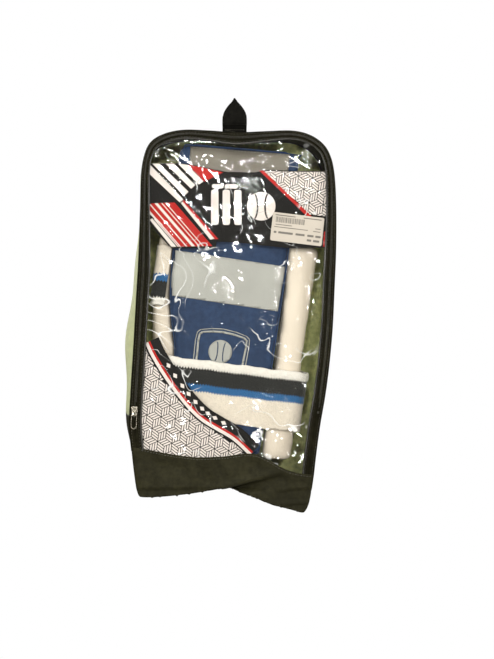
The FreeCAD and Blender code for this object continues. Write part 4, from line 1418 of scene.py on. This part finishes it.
RIGHT_SECTION = [(58.5, -30, 2), (78, -27.5, 14), (91, -22.5, 9), (95.5, -16, 8), (88.5, -3, 8), (60, -11, 4)]
right_wing = stuffed("right_wing", puffed_column(rounded(RIGHT_SECTION), -184, 56), wing_vinyl, 3.2)
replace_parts(right_wing, "right_wing_cover", "right_wing_foam")
LEFT_LINE = [
    (-68, 50, 3), (-68, 28, 20), (-66, -24, 20), (-49, -86, 20), (-45, -184, 3), (-66, -184, 8),
    (-71, -86, 30), (-83, -24, 30), (-83, 50, 6),
]
left_wing = stuffed("left_wing", slab(rounded(LEFT_LINE), -28.5, 2.0), wing_vinyl, 2.6)
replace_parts(left_wing, "left_wing_cover", "left_wing_foam")


def towelling(name, shade):
    """Terry towelling: loops of cotton about a millimetre across that catch the light unevenly."""
    made, tree, spot = new_material(name)
    loops = add_node(tree, "ShaderNodeTexVoronoi", {"Vector": spot, "Scale": 820.0})
    pile = add_node(tree, "ShaderNodeTexNoise", {"Vector": spot, "Scale": 240.0, "Detail": 4.0})
    height = add_node(
        tree, "ShaderNodeMath", {0: loops.outputs["Distance"], 1: pile.outputs["Fac"]}, operation="SUBTRACT"
    )
    bump = add_node(tree, "ShaderNodeBump", {"Strength": 0.7, "Distance": 0.0008, "Height": height.outputs[0]})
    base = linear(shade)
    deep = [c * 0.72 for c in base[:3]] + [1.0]
    colour = add_node(tree, "ShaderNodeMix", {0: pile.outputs["Fac"], 6: deep, 7: base}, data_type="RGBA")
    cloth = add_node(
        tree,
        "ShaderNodeBsdfPrincipled",
        {"Base Color": colour.outputs[2], "Roughness": 0.9, "Sheen Weight": 0.5, "Normal": bump.outputs[0]},
    )
    add_node(tree, "ShaderNodeOutputMaterial", {"Surface": cloth.outputs[0]})
    return made


terry = towelling("terry_towelling", "#e4ddcd")


def lining_sheet(name, outline, y_at, flat, area, *nodes):
    """A towelling lining cut to this outline, quilted in channels 28 mm apart."""
    bm = cut_cloth([tuple(on_pad(u, v).xz) for u, v in outline], 3.0)
    for v in bm.verts:
        groove = math.exp(-((((v.co.z + 8) % 28) - 14) ** 2) / 2.5)
        v.co.y = y_at(v.co.x, v.co.z) - 0.8 * groove
    lining = thicken(make_piece(name, bm, terry, "thigh_pad"), 1.4)
    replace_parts(lining, *nodes)


def off_pad(x, z):
    """Across and up the pad, for a point in the bag."""
    c, s = math.cos(PAD_LEAN), math.sin(PAD_LEAN)
    return (x - PAD_ORIGIN.x) * c - (z - PAD_ORIGIN.z) * s, (x - PAD_ORIGIN.x) * s + (z - PAD_ORIGIN.z) * c


def right_lining_y(x, z):
    u, _ = off_pad(x, z)
    return -8.6 + 9.0 * (u - 61.5) / 26


RIGHT_LINING = [(61.5, -182, 3), (86.5, -182, 3), (86.5, 48, 3), (61.5, 48, 3)]
lining_sheet("centre_lining_sheet", centre_line, lambda x, z: -8.8, (0.133, 0.341), 0.0393, "centre_lining")
lining_sheet(
    "right_lining_sheet", rounded(RIGHT_LINING), right_lining_y, (0.0255, 0.230), 0.0058, "right_wing_lining"
)
lining_sheet(
    "left_lining_sheet", rounded(LEFT_LINE), lambda x, z: 5.2, (0.038, 0.234), 0.0044, "left_wing_lining"
)

# ---------------------------------------------------------------- thigh pad: straps
# Two elastic straps woven with a towelling face, white with a blue and a black stripe and a thick
# pile roll along one edge. Each goes round the pad and closes on hook tape at the back.
STRAP_HEIGHT = 65.0
STRAP_PLY = 2.3
ZIGZAG_PITCH = 3.2  # the stripes' edges are stepped by the weave, drawn coarse enough to show
STRIPES = [("#e9e4d9", 0.14), ("#11130f", 0.41), ("#1b5a8c", 0.53), ("#ddd2c0", 1.0)]


def striped_terry(name, teeth, roll_at_top):
    """Striped towelling on elastic, whose stripes run along the strap from its pile roll."""
    made, tree, spot = new_material(name)
    weave = add_node(tree, "ShaderNodeUVMap", uv_map="weave")
    parts = add_node(tree, "ShaderNodeSeparateXYZ", {0: weave.outputs[0]})
    along = add_node(tree, "ShaderNodeMath", {0: parts.outputs["X"], 1: float(teeth)}, operation="MULTIPLY")
    saw = add_node(tree, "ShaderNodeMath", {0: along.outputs[0], 1: 0.5}, operation="PINGPONG")
    turned = {0: 1.0, 1: parts.outputs["Y"]} if roll_at_top else {0: parts.outputs["Y"], 1: 0.0}
    from_roll = add_node(tree, "ShaderNodeMath", turned, operation="SUBTRACT")
    stepped = add_node(
        tree, "ShaderNodeMath", {0: saw.outputs[0], 1: 0.07, 2: from_roll.outputs[0]}, operation="MULTIPLY_ADD"
    )
    shade = linear(STRIPES[0][0])
    for (_, edge_at), (code, _) in zip(STRIPES, STRIPES[1:]):
        past = add_node(
            tree, "ShaderNodeMath", {0: stepped.outputs[0], 1: edge_at + 0.012}, operation="GREATER_THAN"
        )
        shade = add_node(
            tree, "ShaderNodeMix", {0: past.outputs[0], 6: shade, 7: linear(code)}, data_type="RGBA"
        ).outputs[2]
    loops = add_node(tree, "ShaderNodeTexVoronoi", {"Vector": spot, "Scale": 620.0})
    pile = add_node(tree, "ShaderNodeTexNoise", {"Vector": spot, "Scale": 260.0, "Detail": 4.0})
    wear = add_node(tree, "ShaderNodeMapRange", {"Value": pile.outputs["Fac"], "To Min": 0.78, "To Max": 1.06})
    toned = add_node(tree, "ShaderNodeVectorMath", {0: shade, "Scale": wear.outputs[0]}, operation="SCALE")
    bump = add_node(tree, "ShaderNodeBump", {"Strength": 0.6, "Distance": 0.0009, "Height": loops.outputs["Distance"]})
    cloth = add_node(
        tree,
        "ShaderNodeBsdfPrincipled",
        {"Base Color": toned.outputs[0], "Roughness": 0.88, "Sheen Weight": 0.25, "Normal": bump.outputs[0]},
    )
    add_node(tree, "ShaderNodeOutputMaterial", {"Surface": cloth.outputs[0]})
    return made


def strap_band(name, path, v0, roll_at_top, closed, material, steps):
    """A strap that follows a path given across and back, with a fat pile roll along one edge."""
    line = rounded(path, closed)
    ring = np.array(line + line[:1]) if closed else np.array(line)
    gone = np.concatenate([[0], np.cumsum(np.linalg.norm(np.diff(ring, axis=0), axis=1))])

    def place(a, b):
        u, y = (float(np.interp(a * gone[-1], gone, ring[:, k])) for k in (0, 1))
        ahead, behind = (min(max(a + d, 0.0), 1.0) * gone[-1] for d in (0.004, -0.004))
        if closed:
            ahead, behind = ((a + d) % 1.0 * gone[-1] for d in (0.004, -0.004))
        du = float(np.interp(ahead, gone, ring[:, 0]) - np.interp(behind, gone, ring[:, 0]))
        dy = float(np.interp(ahead, gone, ring[:, 1]) - np.interp(behind, gone, ring[:, 1]))
        size = math.hypot(du, dy) or 1.0
        out = Vector((dy, -du)) / size
        from_roll = 1 - b if roll_at_top else b
        proud = 1.3 * math.sin(math.pi * from_roll / 0.15) ** 0.7 if from_roll < 0.15 else 0.0
        proud -= 0.7 * math.exp(-(((from_roll - 0.17) / 0.02) ** 2))
        proud += 0.35 * math.sin(a * 39 + 4 * b) + 0.2 * math.sin(a * 91 - 7 * b)
        edge_wave = 0.5 * math.sin(a * 57) + 0.35 * math.sin(a * 131 + 2)
        v = v0 + STRAP_HEIGHT * b + edge_wave * (1 if b in (0.0, 1.0) else 0.6)
        return on_pad(u + out.x * proud, v, y + out.y * proud)

    shape = ruled(steps, 40, place)
    if closed:
        bmesh.ops.remove_doubles(shape, verts=shape.verts, dist=0.01)
    return thicken(make_piece(name, shape, material, "thigh_pad"), STRAP_PLY), gone[-1]


LOWER_PATH = [  # half a ply outside the pad's face, back, and right wing
    (-66, -36.3, 6), (63, -36.5, 30), (92, -30, 10), (99.5, -19, 7), (91, 4, 8), (84, 4.4, 10), (60, -6.3, 10),
    (-42, -6.3, 8), (-46, 7.7, 8), (-72, 7.7, 6), (-72, -32.5, 8),
]
lower_terry = striped_terry("lower_striped_terry", 430 / ZIGZAG_PITCH, True)
lower_strap, lower_length = strap_band("lower_strap_band", LOWER_PATH, -149, True, True, lower_terry, 300)
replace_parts(lower_strap, "lower_strap")
UPPER_PATH = [
    (-69, -32.6, 0), (-83.6, -32.6, 6), (-83.6, 7.6, 6), (-63.3, 7.6, 5), (-63.3, -5.2, 5), (50, -5.2, 0),
]
upper_terry = striped_terry("upper_striped_terry", 200 / ZIGZAG_PITCH, False)
upper_strap, upper_length = strap_band("upper_strap_band", UPPER_PATH, -30, False, False, upper_terry, 170)
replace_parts(upper_strap, "upper_strap")
TAIL_PATH = [(-38, -2.7, 0), (45, -2.7, 0)]
tail, tail_length = strap_band("lower_strap_end", TAIL_PATH, -151, True, False, lower_terry, 60)
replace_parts(tail, "lower_strap_tail")
# Hook tape is nylon loops cut open, a stiff matt grid about a millimetre and a half across.
hook_nylon = woven("hook_tape_nylon", "#1d1c18", thread=1.5, depth=0.9, rough=0.5, fuzz=0.3)
for name, u0, u1, y0, v0, node in (
    ("lower_hook_tape", -30, 25, -5.1, -147, "lower_hook_patch"),
    ("upper_hook_tape", -8, 46, -7.6, -26, "upper_hook_patch"),
):
    corners = [(u0, v0, 4), (u1, v0, 4), (u1, v0 + 57, 4), (u0, v0 + 57, 4)]
    patch = slab(rounded(corners), y0, y0 + 1.2)
    rims = [e for e in patch.edges if abs(e.verts[0].co.y - e.verts[1].co.y) < 0.01]
    bmesh.ops.bevel(patch, geom=rims, offset=0.25, affect="EDGES", segments=2, profile=0.5, material=-1)
    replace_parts(make_piece(name, patch, hook_nylon, "thigh_pad", smooth=False), node)
